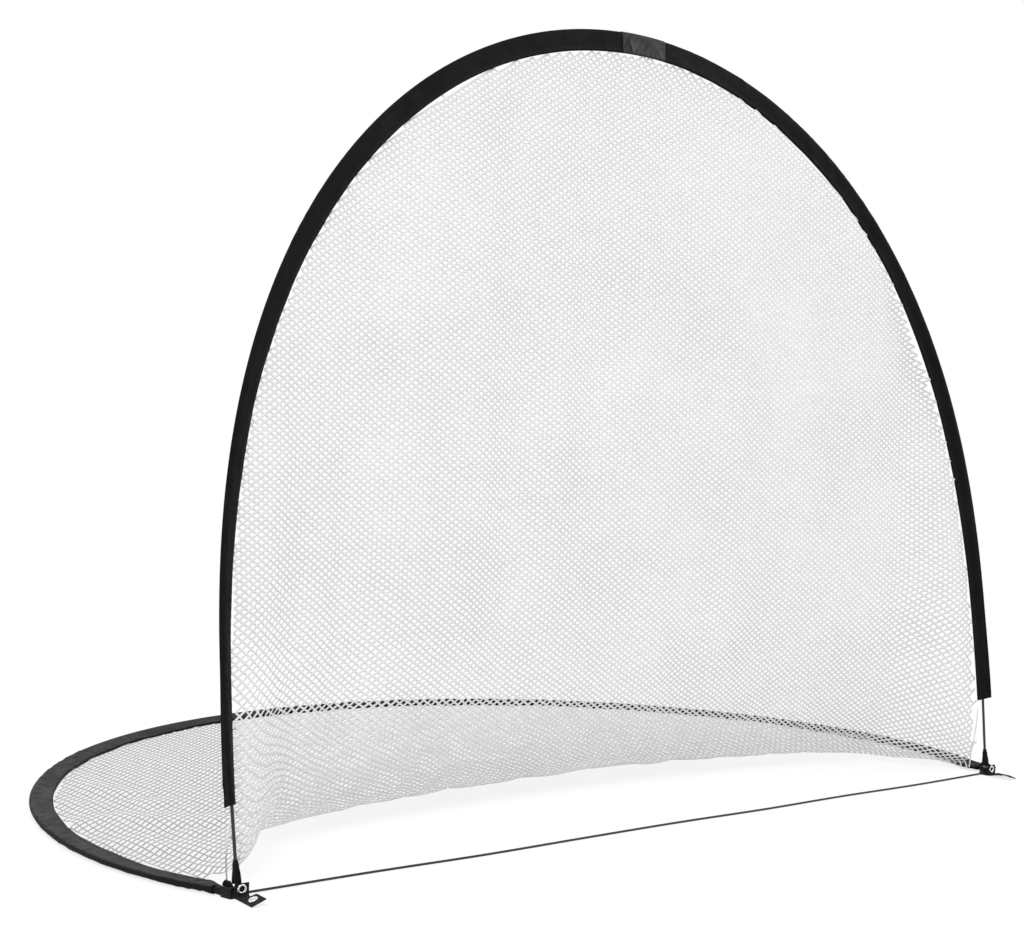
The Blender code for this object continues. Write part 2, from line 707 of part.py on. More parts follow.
def make_net(front, ground):
    """Knotted diamonds: each face of a skewed grid is opened, leaving its strands.

    Along the seams and the feet a half diamond has its middle point on the edge too.
    """
    columns, rows = 2 * NET_COLUMNS, 2 * NET_ROWS
    bm = bmesh.new()
    corners = {}
    for i in range(columns + 1):
        line = net_line(front, ground, i / columns, rows + 1)
        for j in range(rows + 1):
            if (i + j) % 2 == 0 or i in (0, columns) or j in (0, rows):
                corners[i, j] = bm.verts.new(line[j])
    for i in range(columns + 1):
        for j in range(1 - i % 2, rows + 1, 2):
            ring = [corners.get(key) for key in ((i - 1, j), (i, j - 1), (i + 1, j), (i, j + 1))]
            ring = [corner or corners[i, j] for corner in ring]
            centre = sum((corner.co for corner in ring), Vector()) / len(ring)
            sides = [(ring[k - 1].co, ring[k].co) for k in range(len(ring))]
            around = sum((b - a).length for a, b in sides)
            area = sum((a - centre).cross(b - centre).length for a, b in sides) / 2
            open_share = max(NET_LEAST_OPEN, 1 - NET_STRAND / 2 * around / (2 * area))
            inner = [bm.verts.new(centre + (corner.co - centre) * open_share) for corner in ring]
            for k in range(len(ring)):
                bm.faces.new((ring[k - 1], ring[k], inner[k], inner[k - 1]))
    bmesh.ops.recalc_face_normals(bm, faces=bm.faces)
    mesh = bpy.data.meshes.new("net")
    bm.to_mesh(mesh)
    bm.free()
    return mesh


# The cord

def smooth_line(points, count):
    """Evenly shared points on a smooth curve through the route's own points."""
    padded = [points[0] * 2 - points[1]] + points + [points[-1] * 2 - points[-2]]
    line = []
    for k in range(count):
        place = k / (count - 1) * (len(points) - 1)
        n = min(int(place), len(points) - 2)
        t = place - n
        a, b, c, d = padded[n:n + 4]
        line.append(0.5 * (2 * b + (c - a) * t + (2 * a - 5 * b + 4 * c - d) * t ** 2
                           + (3 * b - a - 3 * c + d) * t ** 3))
    return line


def make_cord(material):
    """Taut cord on the ground from knot to knot."""
    reach = GOAL_WIDTH / 2 - SHOE_INNER - KNOT_DIAMETER - 2 * CLEARANCE
    height = CORD_DIAMETER / 2 + CLEARANCE
    end_height = (height + KNOT_DIAMETER / 2) / 2
    last = len(CORD_SWAY) - 1
    route = []
    for k, sway in enumerate(CORD_SWAY):
        z = end_height if k in (0, last) else height
        route.append(Vector((reach * (2 * k / last - 1), HINGE_Y + sway, z)))
    curve = bpy.data.curves.new("ground_cord", "CURVE")
    curve.dimensions = "3D"
    curve.bevel_depth = CORD_DIAMETER / 2
    curve.bevel_resolution = 2
    curve.use_fill_caps = True
    line = smooth_line(route, CORD_POINTS)
    spline = curve.splines.new("POLY")
    spline.points.add(len(line) - 1)
    for spot, point in zip(spline.points, line):
        spot.co = (*point, 1.0)
    return add_object("ground_cord", curve, material)


# The bare patch on the crown

def make_patch(rod, material, parent):
    middle = rod[-1][2] / 2
    points = stretch(rod, middle - PATCH_WIDTH / 2, middle + PATCH_WIDTH / 2)
    length = rod[-1][2]

    def section(distance):
        angle = sleeve_tilt(distance, length, FRONT_TILT)
        outline = sleeve_section(SLEEVE_HEAD, angle)
        top, middle_point, edge = outline[-2], outline[-3], outline[-4]
        lift = 2 * CLEARANCE
        inner_line = [(out, back - lift) for out, back in (top, middle_point, edge)]
        outer_line = [(out, back - lift - PATCH_THICKNESS) for out, back in (top, middle_point, edge)]
        return inner_line + list(reversed(outer_line))

    add_object("crown_patch", loft("crown_patch", swept(points, section)), material, parent)


clear_scene()

FRONT_ROD = bent_rod(GOAL_WIDTH, FRONT_BEND_ANGLES)
GROUND_ROD = bent_rod(GOAL_WIDTH + 2 * GROUND_SOCKET_OFFSET, GROUND_BEND_ANGLES)

# The origin is the middle of the goal's footprint, so the hinge line stands in front of it
BACK_REACH = max(h for x, h, distance in GROUND_ROD)
BACK_SECTION = sleeve_section(SLEEVE_HEAD, radians(GROUND_TILT[0]), deepest=GROUND_ROD_HEIGHT)
BACK_REACH += max(out for out, back in BACK_SECTION)
FRONT_REACH = -tab_frames()[-1][0]
HINGE_Y = (FRONT_REACH - BACK_REACH) / 2

MATERIALS = {
    "cloth": make_material("cloth", (0.012, 0.012, 0.014), 0.55),
    "rubber": make_material("rubber", (0.014, 0.014, 0.015), 0.7),
    "rod": make_material("rod", (0.010, 0.010, 0.011), 0.35),
    "steel": make_material("steel", (0.45, 0.45, 0.46), 0.35, 1.0),
    "eyelet": make_material("eyelet", (0.75, 0.75, 0.74), 0.22, 1.0),
    "webbing": make_material("webbing", (0.010, 0.010, 0.011), 0.8),
    "net": make_material("net", (0.72, 0.72, 0.73), 0.6),
    "cord": make_material("cord", (0.015, 0.015, 0.016), 0.7),
    "patch": make_material("patch", (0.016, 0.016, 0.018), 0.4),
}

FRONT_PIVOT = add_empty("front_hoop_pivot", (0.0, HINGE_Y, HINGE_HEIGHT), -radians(FRONT_LEAN))
GROUND_PIVOT = add_empty("ground_hoop_frame", (0.0, HINGE_Y, GROUND_ROD_HEIGHT), -pi / 2)

make_hoop("front", FRONT_ROD, EYE_ROUND_TOP + SOCKET_WALL + CLEARANCE, FRONT_PIVOT,
          MATERIALS["rod"], MATERIALS["steel"])
make_hoop("ground", GROUND_ROD, CLEARANCE, GROUND_PIVOT, MATERIALS["rod"], MATERIALS["steel"])
FRONT_SLEEVE = make_sleeve("front_sleeve", FRONT_ROD, FRONT_SLEEVE_START, FRONT_TILT, flap=FRONT_FLAP)
add_object("front_sleeve", FRONT_SLEEVE, MATERIALS["cloth"], FRONT_PIVOT)
GROUND_SLEEVE = make_sleeve("ground_sleeve", GROUND_ROD, GROUND_SLEEVE_START, GROUND_TILT,
                            deepest=GROUND_ROD_HEIGHT)
add_object("ground_sleeve", GROUND_SLEEVE, MATERIALS["cloth"], GROUND_PIVOT)
make_patch(FRONT_ROD, MATERIALS["patch"], FRONT_PIVOT)

for corner_side in (-1, 1):
    make_corner(corner_side, GROUND_ROD, FRONT_ROD, FRONT_PIVOT, MATERIALS)

NET = add_object("net", make_net(FRONT_ROD, GROUND_ROD), MATERIALS["net"])
NET_WALL = NET.modifiers.new("Thickness", "SOLIDIFY")
NET_WALL.thickness = NET_THICKNESS
NET_WALL.offset = 0.0

make_cord(MATERIALS["cord"])

bpy.context.view_layer.update()
CROWN_HEIGHT = max(h for x, h, distance in FRONT_ROD)
print(f"hinge line at y {HINGE_Y:.5f}, z {HINGE_HEIGHT:.5f}; front crown {CROWN_HEIGHT:.4f}")
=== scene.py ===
# %% [markdown]
# # A pop-up soccer goal, dressed for the camera
#
# The goal is two bent rods in black cloth sleeves, a white net between them, and a small sewn corner at
# each foot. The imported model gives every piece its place, and this script makes the surfaces that a person
# sees, in the order in which the goal is sewn: the sleeves, the net in their seams, and then the corners.

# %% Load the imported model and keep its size
import json
from dataclasses import dataclass
from math import cos, pi, radians, sin, sqrt, tan

import bmesh
import bpy
import numpy as np
from mathutils import Matrix, Vector


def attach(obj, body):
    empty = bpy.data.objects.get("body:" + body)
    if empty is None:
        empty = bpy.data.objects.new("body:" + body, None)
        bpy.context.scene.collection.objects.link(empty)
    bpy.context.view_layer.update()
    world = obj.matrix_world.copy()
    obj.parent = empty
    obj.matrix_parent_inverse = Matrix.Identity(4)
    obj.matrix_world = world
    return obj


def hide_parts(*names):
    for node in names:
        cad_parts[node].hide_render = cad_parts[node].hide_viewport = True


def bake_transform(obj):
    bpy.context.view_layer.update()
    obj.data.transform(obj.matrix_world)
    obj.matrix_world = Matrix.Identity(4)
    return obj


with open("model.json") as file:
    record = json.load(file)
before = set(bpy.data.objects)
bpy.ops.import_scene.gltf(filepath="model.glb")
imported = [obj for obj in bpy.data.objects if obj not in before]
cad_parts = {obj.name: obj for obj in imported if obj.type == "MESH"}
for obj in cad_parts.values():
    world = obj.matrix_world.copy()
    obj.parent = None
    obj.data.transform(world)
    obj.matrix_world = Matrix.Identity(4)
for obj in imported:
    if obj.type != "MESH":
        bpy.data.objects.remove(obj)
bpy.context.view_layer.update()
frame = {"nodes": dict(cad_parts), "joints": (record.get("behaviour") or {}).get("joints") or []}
cad_nodes = frame["nodes"]
_, hinge_y, hinge_z = frame["joints"][0]["pos_m"]
GOAL_WIDTH = 1.83
SIDES = ((-1, "left"), (1, "right"))
print(f"{len(cad_nodes)} nodes, hinge line at y {hinge_y:.4f}, z {hinge_z:.4f}")

# %% [markdown]
# ## Small helpers
#
# Most pieces are lofts: a row of rings, joined ring to ring, with a UV map in metres, so that a weave or a
# braid has its real size on it. Waves in cloth are sums of a few cosines with seeded directions, which is
# smooth, cheap and the same in each run.


def show(name, data):
    """New object in the scene."""
    made = bpy.data.objects.new(name, data)
    bpy.context.scene.collection.objects.link(made)
    return made


def settled(carrier, name):
    """Plain mesh of an object with its modifiers applied, in place of the object."""
    mesh = bpy.data.meshes.new_from_object(carrier.evaluated_get(bpy.context.evaluated_depsgraph_get()))
    mesh.name = name
    bpy.data.objects.remove(carrier)
    return mesh


def place_piece(name, mesh, body):
    """Shows a mesh and attaches it to its body. Body None leaves it unattached."""
    piece = show(name, mesh)
    if body:
        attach(piece, body)
    print(f"{name}: {len(mesh.polygons)} faces")
    return piece


def add_piece(name, mesh, finish, body, node):
    """A piece with its finish, in place of a packed one."""
    mesh.materials.clear()
    mesh.materials.append(FINISH[finish])
    piece = place_piece(name, mesh, body)
    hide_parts(node)
    return piece


def smoothstep(share):
    share = np.clip(share, 0.0, 1.0)
    return share * share * (3 - 2 * share)


def ripples(a, b, size_a, size_b, seed, count=14):
    """Soft random waves over two lengths, with an average size of one."""
    rng = np.random.default_rng(seed)
    total = 0.0
    for _ in range(count):
        across_a = rng.normal(0, pi / size_a)
        across_b = rng.normal(0, pi / size_b)
        total = total + np.cos(across_a * a + across_b * b + rng.uniform(0, 2 * pi))
    return total * sqrt(2 / count)


def lengths_along(points):
    """Distance of each point from the first one, along the row."""
    return np.concatenate(([0.0], np.cumsum(np.linalg.norm(np.diff(points, axis=0), axis=1))))


def outward_mesh(mesh):
    """Turns a closed mesh's faces outwards and shades it smooth."""
    bm = bmesh.new()
    bm.from_mesh(mesh)
    bmesh.ops.recalc_face_normals(bm, faces=bm.faces)
    bm.to_mesh(mesh)
    bm.free()
    mesh.shade_smooth()
    return mesh


def loft(name, rings, along, around, joined_ends=False):
    """Mesh through rings of points, as an array (rings, points, 3), with a UV map in metres.

    Along holds a length for each ring and around one for each point, with one more where it closes.
    """
    rings = np.asarray(rings, float)
    count, sides = rings.shape[:2]
    faces, corners = [], []
    for a in range(count if joined_ends else count - 1):
        b = (a + 1) % count
        near, far = along[a], along[a + 1]
        for k in range(sides):
            m = (k + 1) % sides
            faces.append((a * sides + k, a * sides + m, b * sides + m, b * sides + k))
            corners += [(near, around[k]), (near, around[k + 1]), (far, around[k + 1]), (far, around[k])]
    if not joined_ends:
        for a, order in ((0, range(sides - 1, -1, -1)), (count - 1, range(sides))):
            faces.append(tuple(a * sides + k for k in order))
            corners += [(along[a], around[k]) for k in order]
    mesh = bpy.data.meshes.new(name)
    mesh.from_pydata(rings.reshape(-1, 3).tolist(), [], faces)
    mesh.uv_layers.new(name="UVMap").data.foreach_set("uv", np.array(corners, float).ravel())
    return outward_mesh(mesh)


def rings_along(path, radii, sides):
    """Rings round a path, without twist. Radii has a row for each point, and one number or one for each side."""
    path = np.asarray(path, float)
    radii = np.broadcast_to(radii, (len(path), sides))
    tangents = np.gradient(path, axis=0)
    tangents /= np.linalg.norm(tangents, axis=1)[:, None]
    side = np.cross(tangents[0], (0.0, 0.0, 1.0))
    if np.linalg.norm(side) < 0.2:
        side = np.cross(tangents[0], (0.0, 1.0, 0.0))
    turn = np.arange(sides) * 2 * pi / sides
    rings = []
    for point, tangent, sizes in zip(path, tangents, radii):
        side = side - tangent * (side @ tangent)
        side /= np.linalg.norm(side)
        other = np.cross(tangent, side)
        rings.append(point + sizes[:, None] * (np.outer(np.cos(turn), side) + np.outer(np.sin(turn), other)))
    return np.array(rings), lengths_along(path)


def tube(name, path, radius, sides):
    """Round tube along points."""
    rings, along = rings_along(path, radius, sides)
    return loft(name, rings, along, np.arange(sides + 1) * 2 * pi * radius / sides)


def walled_tube(name, path, outer, inner):
    """Tube with a wall. Outer has a radius for each point and side, inner one for each point."""
    sides = outer.shape[1]
    outside, along = rings_along(path, outer, sides)
    inside, _ = rings_along(path, inner[:, None], sides)
    rings = np.concatenate((outside, inside[::-1]))
    there_and_back = np.concatenate((along, along[::-1], along[:1]))
    around = np.arange(sides + 1) * 2 * pi * float(outer.max()) / sides
    return loft(name, rings, there_and_back, around, joined_ends=True)


# %% [markdown]
# ## The camera
#
# The photograph was taken from the left of the goal, at chest height and three metres off. A camera that
# close makes the near leg look much longer than the far one. The place was found by matching both hoops,
# and it is written as a distance from the middle of the hinge line, with the three turns a photographer
# makes: to the side, down, and a slight roll.

# %% Camera
CAMERA_FROM_HINGE = Vector((-2.0487, -2.1863, 0.6861))
CAMERA_YAW = radians(36.795)
CAMERA_PITCH = radians(-0.727)
CAMERA_ROLL = radians(1.536)
PICTURE_WIDTH = 1024
FOCAL_PIXELS = 1599.6

forward = Vector((sin(CAMERA_YAW) * cos(CAMERA_PITCH), cos(CAMERA_YAW) * cos(CAMERA_PITCH), sin(CAMERA_PITCH)))
level = Vector((cos(CAMERA_YAW), -sin(CAMERA_YAW), 0.0))
upright = level.cross(forward)
right = level * cos(CAMERA_ROLL) + upright * sin(CAMERA_ROLL)
above = upright * cos(CAMERA_ROLL) - level * sin(CAMERA_ROLL)

camera = show("photo_camera", bpy.data.cameras.new("photo_camera"))
camera.matrix_world = Matrix((right, above, -forward)).transposed().to_4x4()
camera.location = Vector((0.0, hinge_y, hinge_z)) + CAMERA_FROM_HINGE
camera.data.lens = FOCAL_PIXELS * camera.data.sensor_width / PICTURE_WIDTH
camera.data.clip_end = 100.0
bpy.context.scene.camera = camera
print(f"camera at {tuple(round(c, 3) for c in camera.location)}, lens {camera.data.lens:.1f} mm")

# %% [markdown]
# ## Node trees
#
# A node tree is easiest to read as one line for each node: its kind, what goes in, and its settings. A
# value that is another node's socket is linked, and any other value is set on the socket.

# %% Nodes
VECTOR = "NodeSocketVector"
FLOAT = "NodeSocketFloat"
GEOMETRY = "NodeSocketGeometry"
MATERIAL = "NodeSocketMaterial"


class Tree:
    """Writes nodes into a tree. Each call gives back the outputs of its node, or the one that matters."""

    def __init__(self, tree):
        self.nodes = tree.nodes
        self.links = tree.links

    def give(self, value, socket):
        if isinstance(value, bpy.types.NodeSocket):
            self.links.new(value, socket)
        else:
            socket.default_value = value

    def put(self, kind, inputs=None, **settings):
        made = self.nodes.new(kind)
        for name, value in settings.items():
            setattr(made, name, value)
        for key, value in (inputs or {}).items():
            self.give(value, made.inputs[key])
        return made.outputs

    def reckon(self, operation, *values):
        return self.put("ShaderNodeMath", dict(enumerate(values)), operation=operation)[0]

    def plus(self, a, b):
        return self.reckon("ADD", a, b)

    def minus(self, a, b):
        return self.reckon("SUBTRACT", a, b)

    def times(self, a, b):
        return self.reckon("MULTIPLY", a, b)

    def vector(self, operation, *values):
        made = self.put("ShaderNodeVectorMath", dict(enumerate(values)), operation=operation)
        return made["Value" if operation in ("DOT_PRODUCT", "LENGTH") else "Vector"]

    def scaled(self, vector, factor):
        return self.put("ShaderNodeVectorMath", {0: vector, "Scale": factor}, operation="SCALE")[0]

    def split(self, vector):
        return self.put("ShaderNodeSeparateXYZ", {0: vector})

    def joined(self, *values):
        return self.put("ShaderNodeCombineXYZ", dict(enumerate(values)))[0]

    def noise(self, vector, scale, detail, roughness=0.5):
        return self.put("ShaderNodeTexNoise", {"Vector": vector, "Scale": scale, "Detail": detail,
                                               "Roughness": roughness})[0]

    def spread(self, value, from_low, from_high, to_low, to_high, **settings):
        return self.put("ShaderNodeMapRange", {"Value": value, "From Min": from_low, "From Max": from_high,
                                               "To Min": to_low, "To Max": to_high}, **settings)[0]

    def mixed(self, share, a, colour):
        return self.put("ShaderNodeMix", {"Factor": share, "A": a, "B": (*colour, 1.0)},
                        data_type="RGBA")["Result"]

    def group(self, key, *values):
        """One of the shared shader groups, with its inputs in order."""
        return self.put("ShaderNodeGroup", dict(enumerate(values)), node_tree=GROUPS[key])


def new_group(name, kind, inputs, output_type, build):
    """Node group with named inputs. Build writes its nodes and returns a socket for each named output."""
    group = bpy.data.node_groups.new(name, kind)
    for label, socket_type, default in inputs:
        made = group.interface.new_socket(name=label, in_out="INPUT", socket_type=socket_type)
        if default is not None:
            made.default_value = default
    outputs = build(Tree(group), group.nodes.new("NodeGroupInput").outputs)
    for label in outputs:
        group.interface.new_socket(name=label, in_out="OUTPUT", socket_type=output_type)
    result = group.nodes.new("NodeGroupOutput").inputs
    for label, value in outputs.items():
        group.links.new(value, result[label])
    return group


# %% [markdown]
# ## Effects that several finishes share
#
# Five small shader groups are used again and again. Woven threads gives the height of a plain weave.
# Braided threads gives a round cord its crossing strands. Mottle makes any colour slightly uneven, as dye
# and handling do. Long fibres draws streaks along one direction, for drawn rods and rolled steel. Ground
# dust is strongest near the floor, where cloth picks it up.

# %% Shader groups
def woven_threads(tree, given):
    parts = tree.split(tree.scaled(given["Vector"], given["Threads per metre"]))
    warp, weft = (tree.reckon("ABSOLUTE", tree.reckon("SINE", tree.times(parts[k], pi))) for k in (0, 1))
    cells = tree.plus(tree.reckon("FLOOR", parts[0]), tree.reckon("FLOOR", parts[1]))
    over = tree.reckon("FLOORED_MODULO", cells, 2.0)
    height = tree.plus(tree.times(over, warp), tree.times(tree.minus(1.0, over), weft))
    # Shade is painted shade: the colour is darker in the gaps between threads
    return {"Height": height, "Shade": tree.plus(tree.times(height, 0.5), 0.65)}


def braided_threads(tree, given):
    parts = tree.split(given["Vector"])
    along = tree.times(parts[0], given["Picks per metre"])
    around = tree.times(parts[1], given["Strands per metre"])
    one = tree.reckon("SINE", tree.times(tree.plus(along, around), pi))
    two = tree.reckon("SINE", tree.times(tree.minus(along, around), pi))
    height = tree.reckon("ABSOLUTE", tree.times(one, two))
    # Shade is painted shade: the colour is darker between the braided strands
    return {"Height": height, "Shade": tree.plus(tree.times(height, 0.6), 0.55)}


def mottle(tree, given):
    cloud = tree.noise(given["Vector"], given["Scale"], 4.0, 0.6)
    return {"Factor": tree.spread(cloud, 0.3, 0.7, given["Low"], given["High"])}


def long_fibres(tree, given):
    return {"Height": tree.noise(tree.vector("MULTIPLY", given["Vector"], given["Stretch"]), 1.0, 3.0)}


def ground_dust(tree, given):
    low = tree.spread(tree.split(given["Vector"])[2], 0.0, given["Reach"], 1.0, 0.0)
    specks = tree.spread(tree.noise(given["Vector"], 260.0, 5.0), 0.48, 0.72, 0.0, 1.0)
    return {"Mask": tree.times(low, specks)}


GROUPS = {}
for key, name, build, inputs in (
        ("weave", "Woven threads", woven_threads, [("Threads per metre", FLOAT, 2000.0)]),
        ("braid", "Braided threads", braided_threads,
         [("Picks per metre", FLOAT, 300.0), ("Strands per metre", FLOAT, 640.0)]),
        ("mottle", "Mottle", mottle, [("Scale", FLOAT, 20.0), ("Low", FLOAT, 0.8), ("High", FLOAT, 1.2)]),
        ("fibres", "Long fibres", long_fibres, [("Stretch", VECTOR, (20.0, 900.0, 900.0))]),
        ("dust", "Ground dust", ground_dust, [("Reach", FLOAT, 0.03)])):
    GROUPS[key] = new_group(name, "ShaderNodeTree", [("Vector", VECTOR, None)] + inputs, FLOAT, build)
print(f"{len(GROUPS)} shared groups")

# %% [markdown]
# ## Finishes
#
# All the black pieces are different blacks: satin polyester on the sleeves, duller webbing on the tabs and
# a glossy fibre rod. A black thing is mostly seen by its highlights, so what tells them apart is roughness,
# sheen and the fine relief under the light, and much less the colour.
#
# Each finish is one row: a colour, a roughness, the relief with its vector and size, a cloud that makes the
# colour uneven (scale, low, high), and the bump (height in metres, strength).

# %% Finishes
DUST_COLOUR = (0.16, 0.15, 0.14)
# Painted shade: the grey that the net takes where it lies low beside the left foot
PAINTED_SHADE_COLOUR = (0.32, 0.32, 0.33)
BESIDE_FOOT = (-0.888, 0.460, 0.0)


def make_finish(name, colour, roughness, relief, cloud, bump, specular=0.5, metallic=0.0, sheen=0.0,
                painted_gap_shade=False, marks=None, cover=None):
    """Material from one row.

    Painted shade: the flag darkens the colour in the gaps between threads. Marks is a cloud for the roughness.
    Cover is a function that gives a mask, and the colour that shows there.
    """
    material = bpy.data.materials.new(name)
    material.use_nodes = True
    tree = Tree(material.node_tree)
    shader = tree.nodes["Principled BSDF"].inputs
    where = tree.put("ShaderNodeTexCoord")
    kind, space, *sizes = relief
    if kind == "yarn":
        height = tree.noise(where[space], sizes[0], 2.0)
    elif kind == "twist":
        height = tree.put("ShaderNodeTexWave", {"Vector": where[space], "Scale": sizes[0]},
                          bands_direction="DIAGONAL")["Fac"]
    else:
        threads = tree.group(kind, where[space], *sizes)
        height = threads["Height"]
    factor = tree.group("mottle", where["Object"], *cloud)["Factor"]
    if marks:
        wear = factor if marks == cloud else tree.group("mottle", where["Object"], *marks)["Factor"]
        roughness = tree.times(wear, roughness)
    # Painted shade: the colour is darker in the gaps between threads
    if painted_gap_shade:
        factor = tree.times(threads["Shade"], factor)
    base = tree.scaled(colour, factor)
    if cover:
        mask, cover_colour = cover
        base = tree.mixed(mask(tree, where), base, cover_colour)
    relieved = tree.put("ShaderNodeBump", {"Height": height, "Distance": bump[0], "Strength": bump[1]})[0]
    for label, value in (("Base Color", base), ("Roughness", roughness), ("Metallic", metallic),
                         ("Specular IOR Level", specular), ("Sheen Weight", sheen), ("Sheen Roughness", 0.4),
                         ("Normal", relieved)):
        tree.give(value, shader[label])
    return material


def dusty(reach, most):
    """Dust on the lowest part of a piece, up to a height."""
    def mask(tree, where):
        return tree.times(tree.group("dust", where["Object"], reach)["Mask"], most)
    return mask, DUST_COLOUR


def painted_shade_beside_foot(tree, where):
    """Painted shade: darker colour where the net lies low and outside the left foot."""
    from_foot = tree.vector("ADD", where["Object"], (GOAL_WIDTH / 2, -hinge_y, 0.0))
    beside = tree.spread(tree.vector("DOT_PRODUCT", from_foot, BESIDE_FOOT), -0.01, 0.02, 0.0, 1.0)
    return tree.times(beside, tree.spread(tree.split(where["Object"])[2], 0.05, 0.09, 1.0, 0.0))


FINISH = {
    # Satin polyester, plain woven, with uneven dye and soft handling marks
    "cloth": make_finish("black_satin_cloth", (0.006, 0.006, 0.007), 0.46, ("weave", "UV", 1800.0),
                         (14.0, 0.75, 1.35), (0.00008, 0.7), specular=0.03, painted_gap_shade=True,
                         marks=(60.0, 0.85, 1.2), cover=dusty(0.018, 0.02)),
    # Woven tape with coarse ribs and a dull face
    "webbing": make_finish("black_webbing", (0.008, 0.008, 0.009), 0.8, ("weave", "UV", 900.0),
                           (90.0, 0.7, 1.4), (0.0003, 1.0), specular=0.15, painted_gap_shade=True,
                           cover=dusty(0.020, 0.08)),
    # The same satin where it has no cut of its own: only folds and dye show
    "corner": make_finish("corner_cloth", (0.006, 0.006, 0.007), 0.40, ("yarn", "Object", 1200.0),
                          (60.0, 0.7, 1.4), (0.0001, 0.6), specular=0.08, marks=(60.0, 0.7, 1.4),
                          cover=dusty(0.012, 0.08)),
    # Glossy resin over long drawn fibres
    "rod": make_finish("fibre_rod", (0.010, 0.010, 0.011), 0.30, ("fibres", "UV", (30.0, 2600.0, 1.0)),
                       (40.0, 0.8, 1.3), (0.00006, 0.6), specular=0.4, marks=(40.0, 0.8, 1.3)),
    # Zinc-plated pressed steel, with rolling marks and dull patches
    "steel": make_finish("plated_steel", (0.45, 0.45, 0.46), 0.34, ("fibres", "Object", (900.0, 900.0, 60.0)),
                         (300.0, 0.8, 1.15), (0.00004, 0.6), metallic=1.0, marks=(300.0, 0.8, 1.15)),
    # Bright nickel, with fine scratches
    "eyelet": make_finish("bright_nickel", (0.78, 0.77, 0.75), 0.22,
                          ("fibres", "Object", (1500.0, 300.0, 1500.0)), (420.0, 0.78, 1.1),
                          (0.00003, 0.5), metallic=1.0, marks=(420.0, 0.78, 1.1)),
    # White knitted polyester, with painted shade: grey where it lies low outside the left foot
    "net": make_finish("white_net", (0.62, 0.62, 0.63), 0.55, ("yarn", "Object", 1600.0), (5.0, 0.93, 1.05),
                       (0.0002, 0.5), specular=0.3, cover=(painted_shade_beside_foot, PAINTED_SHADE_COLOUR)),
    # Sewing thread with its twist
    "thread": make_finish("black_thread", (0.020, 0.020, 0.022), 0.5, ("twist", "Object", 900.0),
                          (50.0, 0.8, 1.3), (0.00005, 1.0), specular=0.4),
    # Braided cord
    "cord": make_finish("black_braid", (0.016, 0.016, 0.017), 0.6, ("braid", "UV"), (30.0, 0.8, 1.3),
                        (0.0004, 1.0), specular=0.35, sheen=0.08, painted_gap_shade=True, cover=dusty(0.006, 0.15)),
    # Coated patch: smoother and glossier than the cloth, with a faint grain
    "patch": make_finish("coated_patch", (0.008, 0.008, 0.009), 0.38, ("weave", "UV", 1200.0),
                         (45.0, 0.8, 1.3), (0.00004, 0.6), specular=0.17, marks=(45.0, 0.8, 1.3)),
}
print(f"{len(FINISH)} finishes")

# %% [markdown]
# ## The bent rods
#
# A springy rod held at its feet takes one smooth curve. Its direction turns fast at the crown and less
# towards the feet, and three numbers say how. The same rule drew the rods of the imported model, so what
# follows these lines fits it exactly. A rod's line is flat, with a distance along it, and a place
# function stands it up for the front hoop or lays it down for the ground hoop.

# %% Rod lines
GROUND_SOCKET_OFFSET = 0.012
GROUND_ROD_HEIGHT = 0.008
FRONT_LEAN = radians(6.5)
FRONT_BEND = (2.353, -1.487, -1.263)
GROUND_BEND = (2.069, -1.586, 2.856)
ROD_STEPS = 2000


class RodLine:
    """A flat bent line: points (x, h), their distance from the left foot, and the outward direction."""

    def __init__(self, width, bend):
        crown, middle, foot = bend
        t = -1 + 2 * (np.arange(ROD_STEPS) + 0.5) / ROD_STEPS
        slope = crown * t + middle * t ** 3 / 3 + foot * t ** 5 / 5
        x = np.concatenate(([0.0], np.cumsum(np.cos(slope))))
        h = np.concatenate(([0.0], -np.cumsum(np.sin(slope))))
        scale = width / x[-1]
        self.x = (x - x[-1] / 2) * scale
        self.h = h * scale
        self.distance = np.arange(ROD_STEPS + 1) * scale
        self.length = self.distance[-1]
        self.out_x = -np.gradient(self.h) / scale
        self.out_h = np.gradient(self.x) / scale

    def at(self, distance, out):
        """Point (x, h) at a distance along the line and out from it."""
        def read(values):
            return np.interp(distance, self.distance, values)
        return read(self.x) + read(self.out_x) * out, read(self.h) + read(self.out_h) * out


def stand(x, back, h):
    """Places a point of the front hoop, which leans back about the hinge line."""
    y = hinge_y + h * sin(FRONT_LEAN) + back * cos(FRONT_LEAN)
    z = hinge_z + h * cos(FRONT_LEAN) - back * sin(FRONT_LEAN)
    return np.stack(np.broadcast_arrays(x, y, z), axis=-1)


def lay(x, back, h):
    """Places a point of the ground hoop, which lies flat behind the hinge line."""
    return np.stack(np.broadcast_arrays(x, hinge_y + h, GROUND_ROD_HEIGHT - back), axis=-1)


def on_rod(rod, place, distance):
    """Points on a rod's middle line."""
    x, h = rod.at(distance, 0.0)
    return place(x, 0.0, h)


front_rod = RodLine(GOAL_WIDTH, FRONT_BEND)
ground_rod = RodLine(GOAL_WIDTH + 2 * GROUND_SOCKET_OFFSET, GROUND_BEND)
print(f"front rod {front_rod.length:.3f} m long, ground rod {ground_rod.length:.3f} m long")

# %% [markdown]
# ## The cloth sleeves
#
# Each sleeve is a strip of satin cloth folded round its rod and sewn along its inner edge, with the net
# caught in the seam. So its section is round over the rod and runs out flat to a stitched hem. What shows
# is small: a few tension creases, puckers at each stitch, and a slow sway of the flat edge. Those are waves
# on a loft, which costs no simulation and stays the same in each run.
#
# The front sleeve turns about its rod towards the feet, where its open end stands out like a flap.

